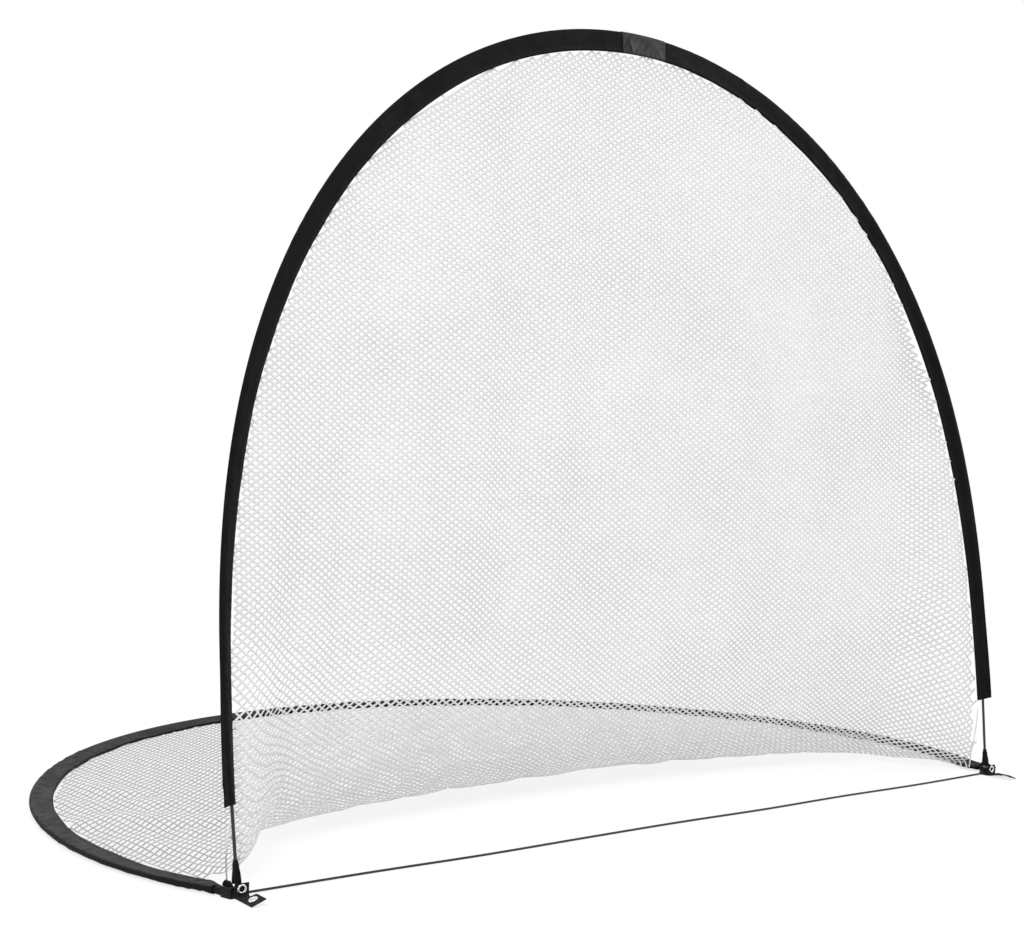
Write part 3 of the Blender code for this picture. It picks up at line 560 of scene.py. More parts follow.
# %% Sleeve shape
SLEEVE_WIDTH = 0.042
POCKET_RADIUS = 0.0046
POCKET_REACH = 0.0090
FLAP_HALF = 0.0012
EDGE_HALF = 0.0020
ROUND_EDGE = 0.003
HEM_WIDTH = 0.008
HEM_STEP = 0.00035
CLOTH_THICKNESS = 0.0007
THINNEST_HALF = 0.00012
FLAP_LENGTH = 0.22
CORNER_LENGTH = 0.032
MOUTH_LENGTH = 0.03
BUSY_LENGTH = 0.20
CREASE_HEIGHT = 0.0013
FINE_HEIGHT = 0.00022
PUCKER_HEIGHT = 0.0002
PUCKER_STEP = 0.0125
SLEEVE_SECTION = 30
SLEEVE_STATION = 0.0042
FLOOR_GAP = 0.0006
NO_FLOOR = 1.0


@dataclass
class Band:
    """One sleeve: where its cloth runs, for a distance along the rod and a reach out from it."""

    rod: RodLine
    place: object
    starts: tuple  # bare lengths at the left and the right foot
    heads: tuple  # how far the cloth stands out past the rod, at the crown and at the feet
    reaches: tuple  # how far it runs in from the rod, at the crown and at the feet
    flaps: tuple  # what is added to the head at the left and the right open end
    corner: float  # how much of the seam is cut off slantwise at the feet
    mouth: float  # how much wider the pocket is at its ends
    tilt: tuple  # turn about the rod in degrees, at the crown and at the feet
    skew: float  # difference in tilt between the two sides
    slant: float  # how much further the outer edge runs at the right end
    lowest: float  # the furthest back that the cloth may come
    seed: int

    def from_foot(self, distance):
        return np.minimum(distance - self.starts[0], self.rod.length - self.starts[1] - distance)

    def share(self, distance):
        """Zero at the crown, 1 at the right foot and -1 at the left one."""
        return 2 * distance / self.rod.length - 1

    def head(self, distance):
        beside_end = smoothstep(1 - self.from_foot(distance) / FLAP_LENGTH)
        grown_head = (self.heads[1] - self.heads[0]) * self.share(distance) ** 2
        return self.heads[0] + grown_head + np.where(self.share(distance) < 0, *self.flaps) * beside_end

    def straight_seam(self, distance):
        """The edge that the net is sewn into."""
        return (self.reaches[1] - self.reaches[0]) * -self.share(distance) ** 2 - self.reaches[0]

    def seam(self, distance):
        """The sewn edge, cut off slantwise at the feet to leave the folding leg its way."""
        beside_foot = np.clip(1 - self.from_foot(distance) / CORNER_LENGTH, 0, 1)
        return self.straight_seam(distance) + self.corner * beside_foot

    def sway(self, distance, out):
        """Slow waves of the flat part, which carry both layers and the net's edge with them."""
        loose = smoothstep((-out - 0.004) / 0.03)
        slow = ripples(distance, out, 0.22, 0.20, self.seed)
        short = ripples(distance, out, 0.07, 0.08, self.seed + 1)
        return loose * (0.0011 * slow + 0.0004 * short)

    def half(self, distance, out, side):
        """Half the thickness of the folded strip on one side, with its creases and puckers."""
        head = self.head(distance)
        seam = self.seam(distance)
        pocket = POCKET_RADIUS + self.mouth * smoothstep(1 - self.from_foot(distance) / MOUTH_LENGTH)
        over_rod = FLAP_HALF + (pocket - FLAP_HALF) * np.sqrt(np.clip(1 - (out / POCKET_REACH) ** 2, 0, 1))
        share = np.clip((out - seam) / -seam, 0, 1)
        to_seam = EDGE_HALF + (pocket - EDGE_HALF) * share ** 1.3
        thick = np.where(out > 0, over_rod, to_seam)
        crease_seed = self.seed + (3 if side > 0 else 7)
        busy = smoothstep(ripples(distance, 0 * out, 0.45, 1.0, crease_seed) * 0.5 + 0.45)
        busy = np.maximum(busy, 1.3 * smoothstep(1 - self.from_foot(distance) / BUSY_LENGTH))
        fold = 1 - np.abs(np.tanh(ripples(distance + 0.8 * out, out, 0.05, 0.055, crease_seed + 1)))
        fine = ripples(distance - 0.5 * out, out, 0.022, 0.02, crease_seed + 2)
        thick = thick + busy * (CREASE_HEIGHT * fold ** 2 + FINE_HEIGHT * fine) * smoothstep((out - seam) / 0.01)
        near_seam = np.exp(-(out - seam) / 0.007)
        thick = thick + PUCKER_HEIGHT * near_seam * np.cos(2 * pi * distance / PUCKER_STEP + 1.3 * side)
        thick = thick + HEM_STEP * smoothstep((seam + HEM_WIDTH - out) / 0.0006)
        thick = thick + HEM_STEP * smoothstep((HEM_WIDTH - self.from_foot(distance)) / 0.001)
        return thick * np.sqrt(np.clip((head - out) / ROUND_EDGE, 0, 1))

    def point(self, distance, out, side, lift=0.0):
        """Place on the cloth: side is 1 behind, -1 in front and 0 between the layers."""
        distance, out = np.broadcast_arrays(np.asarray(distance, float), np.asarray(out, float))
        back = self.sway(distance, out)
        if side:
            back = back + side * (np.maximum(self.half(distance, out, side) + lift, THINNEST_HALF))
        share = self.share(distance)
        steep = self.tilt[0] + (self.tilt[1] - self.tilt[0]) * np.abs(share) ** 1.5
        angle = np.radians(steep + self.skew * share * (1 - share ** 4))
        turned_out = out * np.cos(angle) + back * np.sin(angle)
        turned_back = back * np.cos(angle) - out * np.sin(angle)
        turned_back = np.minimum(turned_back, self.lowest + min(lift, 0.0))
        last = smoothstep((distance - self.rod.length + self.starts[1] + 0.05) / 0.05)
        x, h = self.rod.at(distance + self.slant * last * out, turned_out)
        return self.place(x, turned_back, h)

    def stations(self, step):
        first, last = self.starts[0], self.rod.length - self.starts[1]
        return np.linspace(first, last, int((last - first) / step) + 1)


front_band = Band(front_rod, stand, starts=(0.128, 0.154), heads=(0.0072, 0.0176), reaches=(0.0335, 0.0079),
                  flaps=(0.013, 0.003), corner=0.0, mouth=0.0, tilt=(0.0, 47.6), skew=3.2, slant=-0.22,
                  lowest=NO_FLOOR, seed=11)
ground_band = Band(ground_rod, lay, starts=(0.027, 0.027), heads=(0.008, 0.008), reaches=(0.0356, 0.0356),
                   flaps=(0.0, 0.0), corner=0.0185, mouth=0.0014, tilt=(8.0, 2.5), skew=0.0, slant=0.0,
                   lowest=GROUND_ROD_HEIGHT - FLOOR_GAP, seed=23)

# %% Sleeve meshes
def make_sleeve(hoop, band, body):
    """A closed skin: the outer face, and the inner one that the rod slides in."""
    distances = band.stations(SLEEVE_STATION)
    seam, head = band.seam(distances), band.head(distances)

    def layer(lift, inset):
        columns = []
        for value in np.linspace(-1, 1, SLEEVE_SECTION):
            out = (head - inset) - (head - seam - 2 * inset) * abs(value) ** 1.5
            columns.append(band.point(distances, out, 1.0 if value >= 0 else -1.0, lift))
        return np.stack(columns, axis=1)

    rings = np.concatenate((layer(0.0, 0.0), layer(-CLOTH_THICKNESS, CLOTH_THICKNESS)[::-1]))
    along = np.concatenate((distances, distances[::-1], distances[:1]))
    around = np.linspace(0, 2 * SLEEVE_WIDTH, SLEEVE_SECTION + 1)
    name = f"{hoop}_sleeve_cloth"
    piece = add_piece(name, loft(name, rings, along, around, joined_ends=True), "cloth", body, f"{hoop}_sleeve")


make_sleeve("front", front_band, "front_hoop")
make_sleeve("ground", ground_band, "root")

# %% [markdown]
# ## Stitches
#
# Two rows of lockstitch hold each seam, on both faces of the strip. That is some four thousand equal
# stitches on a path, so Geometry Nodes set them: the path is resampled at the stitch length, and a small
# grain of thread is put on each point, turned along the path. Then everything is made real.

# %% Stitch tree
def real_and_coated(tree, geometry, material):
    """The end of each geometry tree: real, smooth and with its material."""
    real = tree.put("GeometryNodeRealizeInstances", {"Geometry": geometry})[0]
    smooth = tree.put("GeometryNodeSetShadeSmooth", {"Geometry": real})[0]
    return {"Geometry": tree.put("GeometryNodeSetMaterial", {"Geometry": smooth, "Material": material})[0]}


def stitches_on_path(tree, given):
    line = tree.put("GeometryNodeMeshToCurve", {"Mesh": given["Geometry"]})[0]
    even = tree.put("GeometryNodeResampleCurve", {"Curve": line, "Length": given["Spacing"]}, mode="LENGTH")[0]
    grain = tree.put("GeometryNodeMeshIcoSphere", {"Radius": 1.0, "Subdivisions": 1})[0]
    radius = given["Thread radius"]
    size = tree.joined(tree.times(given["Stitch length"], 0.5), radius, radius)
    shaped = tree.put("GeometryNodeTransform", {"Geometry": grain, "Scale": size})[0]
    tangent = tree.put("GeometryNodeInputTangent")[0]
    turn = tree.put("FunctionNodeAlignRotationToVector", {"Vector": tangent}, axis="X")[0]
    set_out = tree.put("GeometryNodeInstanceOnPoints", {"Points": even, "Instance": shaped, "Rotation": turn})[0]
    return real_and_coated(tree, set_out, given["Material"])


def grown(name, base_mesh, tree, values, finish, body):
    """Runs a geometry tree on a mesh and keeps the result as a plain piece."""
    carrier = show(name + "_path", base_mesh)
    modifier = carrier.modifiers.new("Grow", "NODES")
    modifier.node_group = tree
    values = {**values, "Material": FINISH[finish]}
    for item in tree.interface.items_tree:
        if item.in_out == "INPUT" and item.name in values:
            modifier[item.identifier] = values[item.name]
    return place_piece(name, settled(carrier, name), body)


def sew(name, lines, spacing, length, body):
    """Rows of stitches along one or more rows of points."""
    points, edges = [], []
    for line in lines:
        first = len(points)
        points += [tuple(p) for p in line]
        edges += [(first + k, first + k + 1) for k in range(len(line) - 1)]
    mesh = bpy.data.meshes.new(name)
    mesh.from_pydata(points, edges, [])
    values = {"Spacing": spacing, "Stitch length": length, "Thread radius": THREAD_RADIUS}
    grown(name, mesh, stitch_tree, values, "thread", body)


STITCH_ROWS = (0.0032, 0.0066)
STITCH_LIFT = 0.00012
THREAD_RADIUS = 0.00028
stitch_tree = new_group(
    "Stitches on a path", "GeometryNodeTree",
    [("Geometry", GEOMETRY, None), ("Spacing", FLOAT, 0.004), ("Stitch length", FLOAT, 0.0032),
     ("Thread radius", FLOAT, 0.0003), ("Material", MATERIAL, None)],
    GEOMETRY, stitches_on_path)

for hoop, band, body in (("front", front_band, "front_hoop"), ("ground", ground_band, "root")):
    distances = band.stations(0.006)
    rows = [band.point(distances, band.seam(distances) + inset, side, STITCH_LIFT)
            for side in (-1.0, 1.0) for inset in STITCH_ROWS]
    sew(f"{hoop}_sleeve_stitches", rows, 0.0042, 0.0034, body)

# %% [markdown]
# ## The net: the surface that it hangs on
#
# The net is one cut piece of white knitted mesh, sewn to the front sleeve all round the mouth and to the
# ground sleeve all round the back. It is cut full: it falls steeply from the front hoop, meets the ground
# a hand's length behind the goal line, and lies there until the ground sleeve takes it.
#
# Columns of points at a constant x describe it well, because gravity works in their plane. Each column
# starts in the front seam and ends in the ground seam. Beside the legs a column may also end lower on
# the same leg, and out past the feet it may run on the ground only, so those are patches of their own.
# A second pair of numbers on each point, the cut, tells where it was in the flat cloth. That is the UV
# map that carries the diamonds. On the ground the mesh is pulled long and slantwise towards the left
# foot, so the cut changes slowly there and slides to one side.

# %% Seam lines for the net
NET_FALL = 8.0
NET_RUN = 2.0
NET_LAST_RISE = 6.0
NET_FLOOR = 0.0035
GROUND_STRETCH = 0.39
GROUND_SLANT = 0.50
GROUND_FROM = 0.22
CUT_FADE = 0.45
SEAM_HEIGHT = 0.014
SEAM_DEPTH = 0.012
SEAM_INSET = 0.004
SEAM_POINTS = 1600
HOLD_WIDTH = 0.17
HOLD_FROM = 0.22
HOLD_FADE = 0.40
HOLD_EASE = 0.004
CENTRE_COLUMNS = 150
COLUMN_POINTS = 170
SIDE_COLUMNS = 24
SIDE_POINTS = 90
SIDE_GAP = 0.0005
QUIET_POINTS = 14
QUIET_WIDTH = 0.10


def seam_by_width(band):
    """A sleeve's seam on the left half: from the foot to the widest point, and from the crown to it.

    Each part is sorted so that it can be read by its distance from the middle.
    """
    distances = np.linspace(band.starts[0] + SEAM_INSET, band.rod.length - band.starts[1] - SEAM_INSET, SEAM_POINTS)
    half = band.point(distances, band.straight_seam(distances), 0.0)[:SEAM_POINTS // 2 + 1]
    widest = int(np.argmin(half[:, 0]))
    return half[:widest + 1], half[widest:][::-1]


def read_by_width(line, x):
    """Depth and height (y, z) of a line at distances x from the middle."""
    widths = np.abs(line[:, 0])
    return np.interp(x, widths, line[:, 1]), np.interp(x, widths, line[:, 2])


front_leg, front_arch = seam_by_width(front_band)
ground_side, ground_back = seam_by_width(ground_band)
free_edge = np.concatenate((ground_side[:1], front_leg))
foot_x = float(min(abs(front_leg[0, 0]), abs(ground_side[0, 0])))
widest_front = float(abs(front_leg[-1, 0]))
widest_ground = float(abs(ground_side[-1, 0]))
print(f"net: feet at x {foot_x:.3f}, front widest {widest_front:.3f}, ground widest {widest_ground:.3f}")

# %% Columns of the net
def leg_width(z):
    """How far out the net's free edge and the leg's seam stand, at a height."""
    return np.interp(z, free_edge[:, 2], np.abs(free_edge[:, 0]))


def front_plane(z):
    """Depth of the front hoop's plane at a height, on the net's side."""
    return hinge_y + (z - hinge_z) * tan(FRONT_LEAN) + SEAM_DEPTH


def cut_of(x, y, z):
    """Where a point was in the flat cloth: true down the fall, slow and slanted along the ground."""
    back = (y - hinge_y - GROUND_FROM) * (1 - smoothstep(z / CUT_FADE))
    fall = np.maximum(z - SEAM_HEIGHT, 0) / cos(FRONT_LEAN)
    return np.stack((x - GROUND_SLANT * back, fall - GROUND_STRETCH * back), axis=-1)


def centre_column(x):
    """From the arch down to the ground and back to the ground seam."""
    y_top, z_top = read_by_width(front_arch, x)
    y_end, z_end = read_by_width(ground_back, x)
    down = np.linspace(0, 1, COLUMN_POINTS) ** NET_RUN
    z = NET_FLOOR + (z_top - NET_FLOOR) * (1 - down) ** NET_FALL + (z_end - NET_FLOOR) * down ** NET_LAST_RISE
    y = y_top + (y_end - y_top) * down ** NET_RUN
    held = 1 - smoothstep((leg_width(z) - x) / HOLD_WIDTH)
    held = held * (1 - smoothstep((down - HOLD_FROM) / HOLD_FADE)) * smoothstep(down / HOLD_EASE)
    return y + (front_plane(z) - y) * held, z


def leg_column(x):
    """From the upper leg seam to the lower one, inside the leg's outward bow."""
    y_top, z_top = read_by_width(front_arch, x)
    y_low, z_low = read_by_width(free_edge, x)
    share = np.linspace(0, 1, SIDE_POINTS)
    return y_top + (y_low - y_top) * share, z_top + (z_low - z_top) * share


def side_column(x):
    """On the ground beside the foot, from the side seam to the back seam."""
    y_near, z_near = read_by_width(ground_side, x)
    y_far, z_far = read_by_width(ground_back, x)
    share = np.linspace(0, 1, SIDE_POINTS)
    rise = (z_near - NET_FLOOR) * (1 - share) ** 8 + (z_far - NET_FLOOR) * share ** 8
    return y_near + (y_far - y_near) * share, NET_FLOOR + rise


# %% Soft waves of the net
def add_waves(x, y, z, quiet):
    """Long hanging folds on the fall and low crumples on the ground. Quiet is 0 in the seams."""
    high = smoothstep((z - 0.05) / 0.25)
    folds = 0.006 * ripples(x, z, 0.20, 1.8, 41) + 0.0015 * ripples(x, z, 0.07, 0.6, 42)
    crumple = np.abs(0.003 * ripples(x, y, 0.14, 0.18, 43) + 0.0008 * ripples(x, y, 0.05, 0.06, 44))
    return y + quiet * high * folds, z + quiet * (1 - high) * crumple


def net_patch(column_of, widths, side):
    """Grid of points with their cut, for columns at several widths, on one side of the goal."""
    points, cuts = [], []
    for width in widths[::side]:
        y, z = column_of(width)
        x = np.full(len(y), side * width)
        cuts.append(cut_of(x, y, z))
        ends = np.minimum(np.arange(len(y)), np.arange(len(y))[::-1]) / QUIET_POINTS
        beside = (leg_width(z) - width) / QUIET_WIDTH
        low = smoothstep((0.10 - z) / 0.05)
        y, z = add_waves(x, y, z, smoothstep(ends) * np.maximum(smoothstep(beside), low))
        points.append(np.stack((x, y, z), axis=-1))
    return np.array(points), np.array(cuts)


def make_net_cloth():
    """One mesh of all the patches, with the cut as its UV map."""
    points, faces, corners = [], [], []
    for side in (-1, 1):
        for column_of, inner, outer, count in (
                (centre_column, 0, foot_x, CENTRE_COLUMNS),
                (leg_column, foot_x, widest_front - SIDE_GAP, SIDE_COLUMNS),
                (side_column, foot_x, widest_ground - SIDE_GAP, SIDE_COLUMNS)):
            grid, cuts = net_patch(column_of, np.linspace(inner, outer, count), side)
            first = len(points)
            columns, rows = grid.shape[:2]
            points += grid.reshape(-1, 3).tolist()
            flat = cuts.reshape(-1, 2)
            for a in range(columns - 1):
                for k in range(rows - 1):
                    ring = (a * rows + k, (a + 1) * rows + k, (a + 1) * rows + k + 1, a * rows + k + 1)
                    faces.append(tuple(first + i for i in ring))
                    corners += [flat[i] for i in ring]
    mesh = bpy.data.meshes.new("net_cloth")
    mesh.from_pydata(points, [], faces)
    mesh.uv_layers.new(name="cut").data.foreach_set("uv", np.array(corners, float).ravel())
    return mesh


net_cloth = make_net_cloth()
print(f"net surface: {len(net_cloth.polygons)} faces")

# %% [markdown]
# ## The net: its diamonds
#
# The real mesh is knitted in diamonds about as wide as a thumbnail. Some forty thousand of them are too
# many to place by hand, and a picture of a net would be flat from the side. So Geometry Nodes draw the
# strands in the flat cut, as two families of slanted lines, look up each point of a line on the hanging
# surface, drop what falls outside the cloth, and put a thin tube round what is left. Each piece of the
# net takes one range of the cut, so no mesh grows too heavy.

# %% Diamond tree
def diamond_net(tree, given):
    place = tree.put("GeometryNodeInputPosition")[0]
    spot = tree.split(place)
    span = tree.minus(given["Lines"], 1.0)

    def named(name):
        return tree.put("GeometryNodeInputNamedAttribute", {"Name": name}, data_type="FLOAT_VECTOR")[0]

    def moved(geometry, **inputs):
        return tree.put("GeometryNodeSetPosition", {"Geometry": geometry, **inputs})[0]

    def without(geometry, selection, domain, mode):
        return tree.put("GeometryNodeDeleteGeometry", {"Geometry": geometry, "Selection": selection},
                        domain=domain, mode=mode)[0]

    across = tree.times(tree.plus(spot[0], spot[1]), tree.times(given["Diamond width"], 0.5))
    up = tree.times(tree.minus(spot[0], spot[1]), tree.times(given["Diamond height"], 0.5))
    flat = tree.joined(across, tree.plus(up, given["Middle height"]))
    wobble = tree.put("ShaderNodeTexNoise", {"Vector": place, "Scale": 31.0, "Detail": 1.0})["Color"]
    shift = tree.scaled(tree.vector("SUBTRACT", wobble, (0.5, 0.5, 0.5)), tree.times(given["Unevenness"], 8.0))
    outside = tree.plus(
        tree.plus(tree.reckon("LESS_THAN", spot[0], given["Left"]),
                  tree.reckon("GREATER_THAN", spot[0], given["Right"])),
        tree.plus(tree.reckon("LESS_THAN", spot[1], given["Low"]),
                  tree.reckon("GREATER_THAN", spot[1], given["High"])))
    ends = tree.put("GeometryNodeInputMeshEdgeVertices")
    step = tree.split(tree.vector("SUBTRACT", ends["Position 1"], ends["Position 2"]))
    cut_map = named("cut")
    found, facing = (tree.put("GeometryNodeSampleUVSurface", {
        "Mesh": given["Geometry"], "Value": value, "Source UV Map": cut_map, "Sample UV": place},
        data_type="FLOAT_VECTOR") for value in (place, tree.put("GeometryNodeInputNormal")[0]))
    missing = tree.put("FunctionNodeBooleanMath", {0: found["Is Valid"]}, operation="NOT")[0]
    both = tree.nodes.new("GeometryNodeJoinGeometry")
    for axis in (0, 1):
        lines = tree.put("GeometryNodeMeshGrid", {"Size X": span, "Size Y": span, "Vertices X": given["Lines"],
                                                  "Vertices Y": given["Lines"]})[0]
        crossing = tree.reckon("LESS_THAN", tree.reckon("ABSOLUTE", step[axis]), 0.5)
        lines = without(lines, crossing, "EDGE", "EDGE_FACE")
        lines = moved(moved(lines, Position=flat), Offset=shift)
        lines = without(without(lines, outside, "EDGE", "EDGE_FACE"), missing, "POINT", "ALL")
        lines = tree.put("GeometryNodeStoreNamedAttribute", {
            "Geometry": lines, "Name": "facing", "Value": facing["Value"]},
            data_type="FLOAT_VECTOR", domain="POINT")[0]
        lines = moved(lines, Position=found["Value"])
        tree.links.new(tree.put("GeometryNodeMeshToCurve", {"Mesh": lines})[0], both.inputs[0])
    turned = tree.put("GeometryNodeSetCurveNormal", {"Curve": both.outputs[0], "Normal": named("facing")},
                      mode="FREE")[0]
    ring = tree.put("GeometryNodeCurvePrimitiveCircle", {"Resolution": 4, "Radius": 1.0})[0]
    section = tree.joined(given["Strand thickness"], given["Strand radius"], 1.0)
    flattened = tree.put("GeometryNodeTransform", {"Geometry": ring, "Scale": section})[0]
    yarn = tree.put("GeometryNodeCurveToMesh", {"Curve": turned, "Profile Curve": flattened})[0]
    return real_and_coated(tree, yarn, given["Material"])


# %% Net pieces
DIAMOND_WIDTH = 0.018
DIAMOND_HEIGHT = 0.012
STRAND_RADIUS = 0.0019
STRAND_THICKNESS = 0.00035
NET_FAR = 2.0
NET_LEVEL = 0.42
diamond_tree = new_group(
    "Diamond net", "GeometryNodeTree",
    [("Geometry", GEOMETRY, None), ("Diamond width", FLOAT, 0.018), ("Diamond height", FLOAT, 0.012),
     ("Strand radius", FLOAT, 0.0013), ("Strand thickness", FLOAT, 0.0006), ("Unevenness", FLOAT, 0.0006),
     ("Middle height", FLOAT, 0.5), ("Left", FLOAT, -2.0), ("Right", FLOAT, 2.0), ("Low", FLOAT, -2.0),
     ("High", FLOAT, 2.0), ("Lines", "NodeSocketInt", 384), ("Material", MATERIAL, None)],
    GEOMETRY, diamond_net)


def piece_sizes(left, right, low, high):
    """Width, length and area of the cloth that one piece takes, measured along the hanging surface."""
    cut = np.empty(len(net_cloth.loops) * 2)
    net_cloth.uv_layers["cut"].data.foreach_get("uv", cut)
    corners = cut.reshape(-1, 4, 2)
    middle = corners.mean(axis=1)
    inside = (middle[:, 0] > left) & (middle[:, 0] < right) & (middle[:, 1] > low) & (middle[:, 1] < high)
    areas = np.empty(len(net_cloth.polygons))
    net_cloth.polygons.foreach_get("area", areas)
    width = float(np.ptp(corners[inside][..., 0]))
    y, z = centre_column(0.0)
    heights = cut_of(0 * y, y, z)[:, 1]
    within = (heights[1:] > low) & (heights[1:] < high)
    length = float(np.hypot(np.diff(y), np.diff(z))[within].sum())
    return width, length, float(areas[inside].sum())


def blend_at_hinge(piece):
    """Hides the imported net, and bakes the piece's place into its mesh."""
    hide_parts("net")
    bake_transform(piece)


for low, high, level_name in ((NET_LEVEL, NET_FAR, "upper"), (-NET_FAR, NET_LEVEL, "lower")):
    for left, right, side_name in ((-NET_FAR, 0.0, "left"), (0.0, NET_FAR, "right")):
        name = f"net_{level_name}_{side_name}"
        values = {"Diamond width": DIAMOND_WIDTH, "Diamond height": DIAMOND_HEIGHT,
                  "Strand radius": STRAND_RADIUS, "Strand thickness": STRAND_THICKNESS,
                  "Left": left, "Right": right, "Low": low, "High": high}
        part = grown(name, net_cloth.copy(), diamond_tree, values, "net", None)
        width, length, area = piece_sizes(left, right, low, high)
        print(f"{name}: {width:.3f} x {length:.3f} m, area {area:.3f} of {width * length:.3f}")
        blend_at_hinge(part)

# %% [markdown]
# ## The net's rolled edges
#
# Beside each bare rod the net has an open edge, which is rolled and hemmed. It runs down from the front
# sleeve's open end and curls out to the start of the ground sleeve.

# %% Rolled edges
EDGE_ROLL = 0.0013
EDGE_OUT = {"left": 0.924, "right": 0.906}

for side, side_name in SIDES:
    top = front_leg[0] * (-side, 1, 1)
    foot = ground_side[0] * (-side, 1, 1) + (0, -0.002, 0.0016)
    beyond = np.array((side * EDGE_OUT[side_name], hinge_y + 0.018, 0.100))
    before = foot + (side * 0.005, 0.000, 0.030)
    t = np.linspace(0, 1, 70)[:, None]
    path = (1 - t) ** 3 * top + 3 * t * (1 - t) ** 2 * beyond + 3 * t ** 2 * (1 - t) * before + t ** 3 * foot
    path[:, 1] += 0.0012 * ripples(path[:, 2], 0, 0.03, 1.0, 71)
    name = f"net_edge_{side_name}"
    mesh = tube(name, path, EDGE_ROLL, 10)
    mesh.materials.append(FINISH["net"])
    blend_at_hinge(place_piece(name, mesh, None))

# %% [markdown]
# ## Bare rods at the feet
#
# Below each sleeve the rod shows for a hand's width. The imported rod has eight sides, which is plenty for
# its job and too few for a close look, so a rounder one stands for it.

# %% Rods
ROD_RADIUS = 0.00275
ROD_END_GAP = 0.0006
ROD_START = 0.0103
ROD_PIECE_STEP = 0.012

for side_name, first, last in (("left", ROD_START, front_rod.length / 2 - ROD_END_GAP / 2),
                               ("right", front_rod.length - ROD_START, front_rod.length / 2 + ROD_END_GAP / 2)):
    path = on_rod(front_rod, stand, np.linspace(first, last, int(abs(last - first) / ROD_PIECE_STEP)))
    name = f"front_rod_round_{side_name}"
    add_piece(name, tube(name, path, ROD_RADIUS, 18), "rod", "front_hoop", f"front_rod_{side_name}")

# %% [markdown]
# ## The cord along the goal line
#
# A thin braided cord lies between the two corners and keeps the mouth from spreading. It is nearly
# taut, with a slight sway where it rests on the ground. Its route repeats the imported one: a few given
# points, and a smooth curve through them.

# %% Cord
CORD_DIAMETER = 0.004
KNOT_DIAMETER = 0.008
SHOE_INNER = 0.0100
GAP = 0.0003
CORD_SWAY = (0.0, 0.003, -0.002, 0.002, 0.004, -0.001, 0.002, -0.002, 0.0)
CORD_POINTS = 220

cord_reach = GOAL_WIDTH / 2 - SHOE_INNER - KNOT_DIAMETER - 2 * GAP
cord_height = CORD_DIAMETER / 2 + GAP
end_height = (cord_height + KNOT_DIAMETER / 2) / 2


def smooth_line(points, count):
    """Evenly shared points on a smooth curve through a route."""
    padded = [points[0] * 2 - points[1]] + points + [points[-1] * 2 - points[-2]]
    line = []
    for k in range(count):
        place = k / (count - 1) * (len(points) - 1)
        n = min(int(place), len(points) - 2)
        t = place - n
        a, b, c, d = padded[n:n + 4]
        line.append(0.5 * (2 * b + (c - a) * t + (2 * a - 5 * b + 4 * c - d) * t ** 2
                           + (3 * b - a - 3 * c + d) * t ** 3))
    return line


last_sway = len(CORD_SWAY) - 1
route = []
for k, sway in enumerate(CORD_SWAY):
    height = end_height if k in (0, last_sway) else cord_height
    route.append(np.array((cord_reach * (2 * k / last_sway - 1), hinge_y + sway, height)))
cord_path = np.array(smooth_line(route, CORD_POINTS))
cord = add_piece("goal_line_cord", tube("goal_line_cord", cord_path, CORD_DIAMETER / 2, 14),
                 "cord", "root", "ground_cord")

# %% Knots
def make_knot(side, side_name):
    """An overhand knot: a closed three-lobed run of the same cord, pulled small."""
    centre = np.array((side * (cord_reach + KNOT_DIAMETER / 2 + GAP), hinge_y, KNOT_DIAMETER / 2 + 0.0012))
    t = np.linspace(0, 2 * pi, 72, endpoint=False)
    size = KNOT_DIAMETER / 6.4
    path = np.stack((-size * 0.8 * np.sin(3 * t), size * (np.sin(t) + 2 * np.sin(2 * t)) * 0.9,
                     size * (np.cos(t) - 2 * np.cos(2 * t)) * 0.9), axis=-1) + centre
    path = np.concatenate((path, path[:3]))
    name = f"cord_knot_tied_{side_name}"
    return add_piece(name, tube(name, path, CORD_DIAMETER * 0.40, 12), "cord", "root", f"cord_knot_{side_name}")


knots = [make_knot(side, side_name) for side, side_name in SIDES]

# %% [markdown]
# ## The patch on the crown
#
# A bare coated patch is sewn over the front face at the crown. It lies on the sleeve's own waves, stands
# a hair above its top edge, and has one row of stitches all round.

# %% Crown patch
PATCH_WIDTH = 0.110
PATCH_OVER = 0.0008
PATCH_UNDERSIDE = 0.0003
PATCH_FACE = 0.0014
PATCH_INSET = 0.0035


def patch_point(distance, share, lift):
    """Place on the patch: share is 0 at its top edge and 1 at the seam."""
    head, seam = front_band.head(distance), front_band.seam(distance)
    return front_band.point(distance, head + PATCH_OVER - (head - seam + PATCH_OVER) * share, -1.0, lift)


def make_patch():
    middle = front_rod.length / 2
    distances = np.linspace(middle - PATCH_WIDTH / 2, middle + PATCH_WIDTH / 2, 56)
    shares = np.linspace(0, 1, 30)
    face = [patch_point(distances, share, PATCH_FACE) for share in shares]
    underside = [patch_point(distances, share, PATCH_UNDERSIDE) for share in shares[::-1]]
    rings = np.stack(face + underside, axis=1)
    around = np.linspace(0, 2 * SLEEVE_WIDTH, rings.shape[1] + 1)
    add_piece("crown_patch_sewn", loft("crown_patch_sewn", rings, distances, around), "patch",
              "front_hoop", "crown_patch")

    run = np.linspace(middle - PATCH_WIDTH / 2 + PATCH_INSET, middle + PATCH_WIDTH / 2 - PATCH_INSET, 40)
    fall = np.linspace(PATCH_INSET / SLEEVE_WIDTH, 1 - PATCH_INSET / SLEEVE_WIDTH, 14)
    rows = [patch_point(run, share, PATCH_FACE + 0.0001) for share in (fall[0], fall[-1])]
    rows += [patch_point(np.full(len(fall), end), fall, PATCH_FACE + 0.0001) for end in (run[0], run[-1])]
    sew("crown_patch_stitches", rows, 0.0036, 0.0028, "front_hoop")


make_patch()

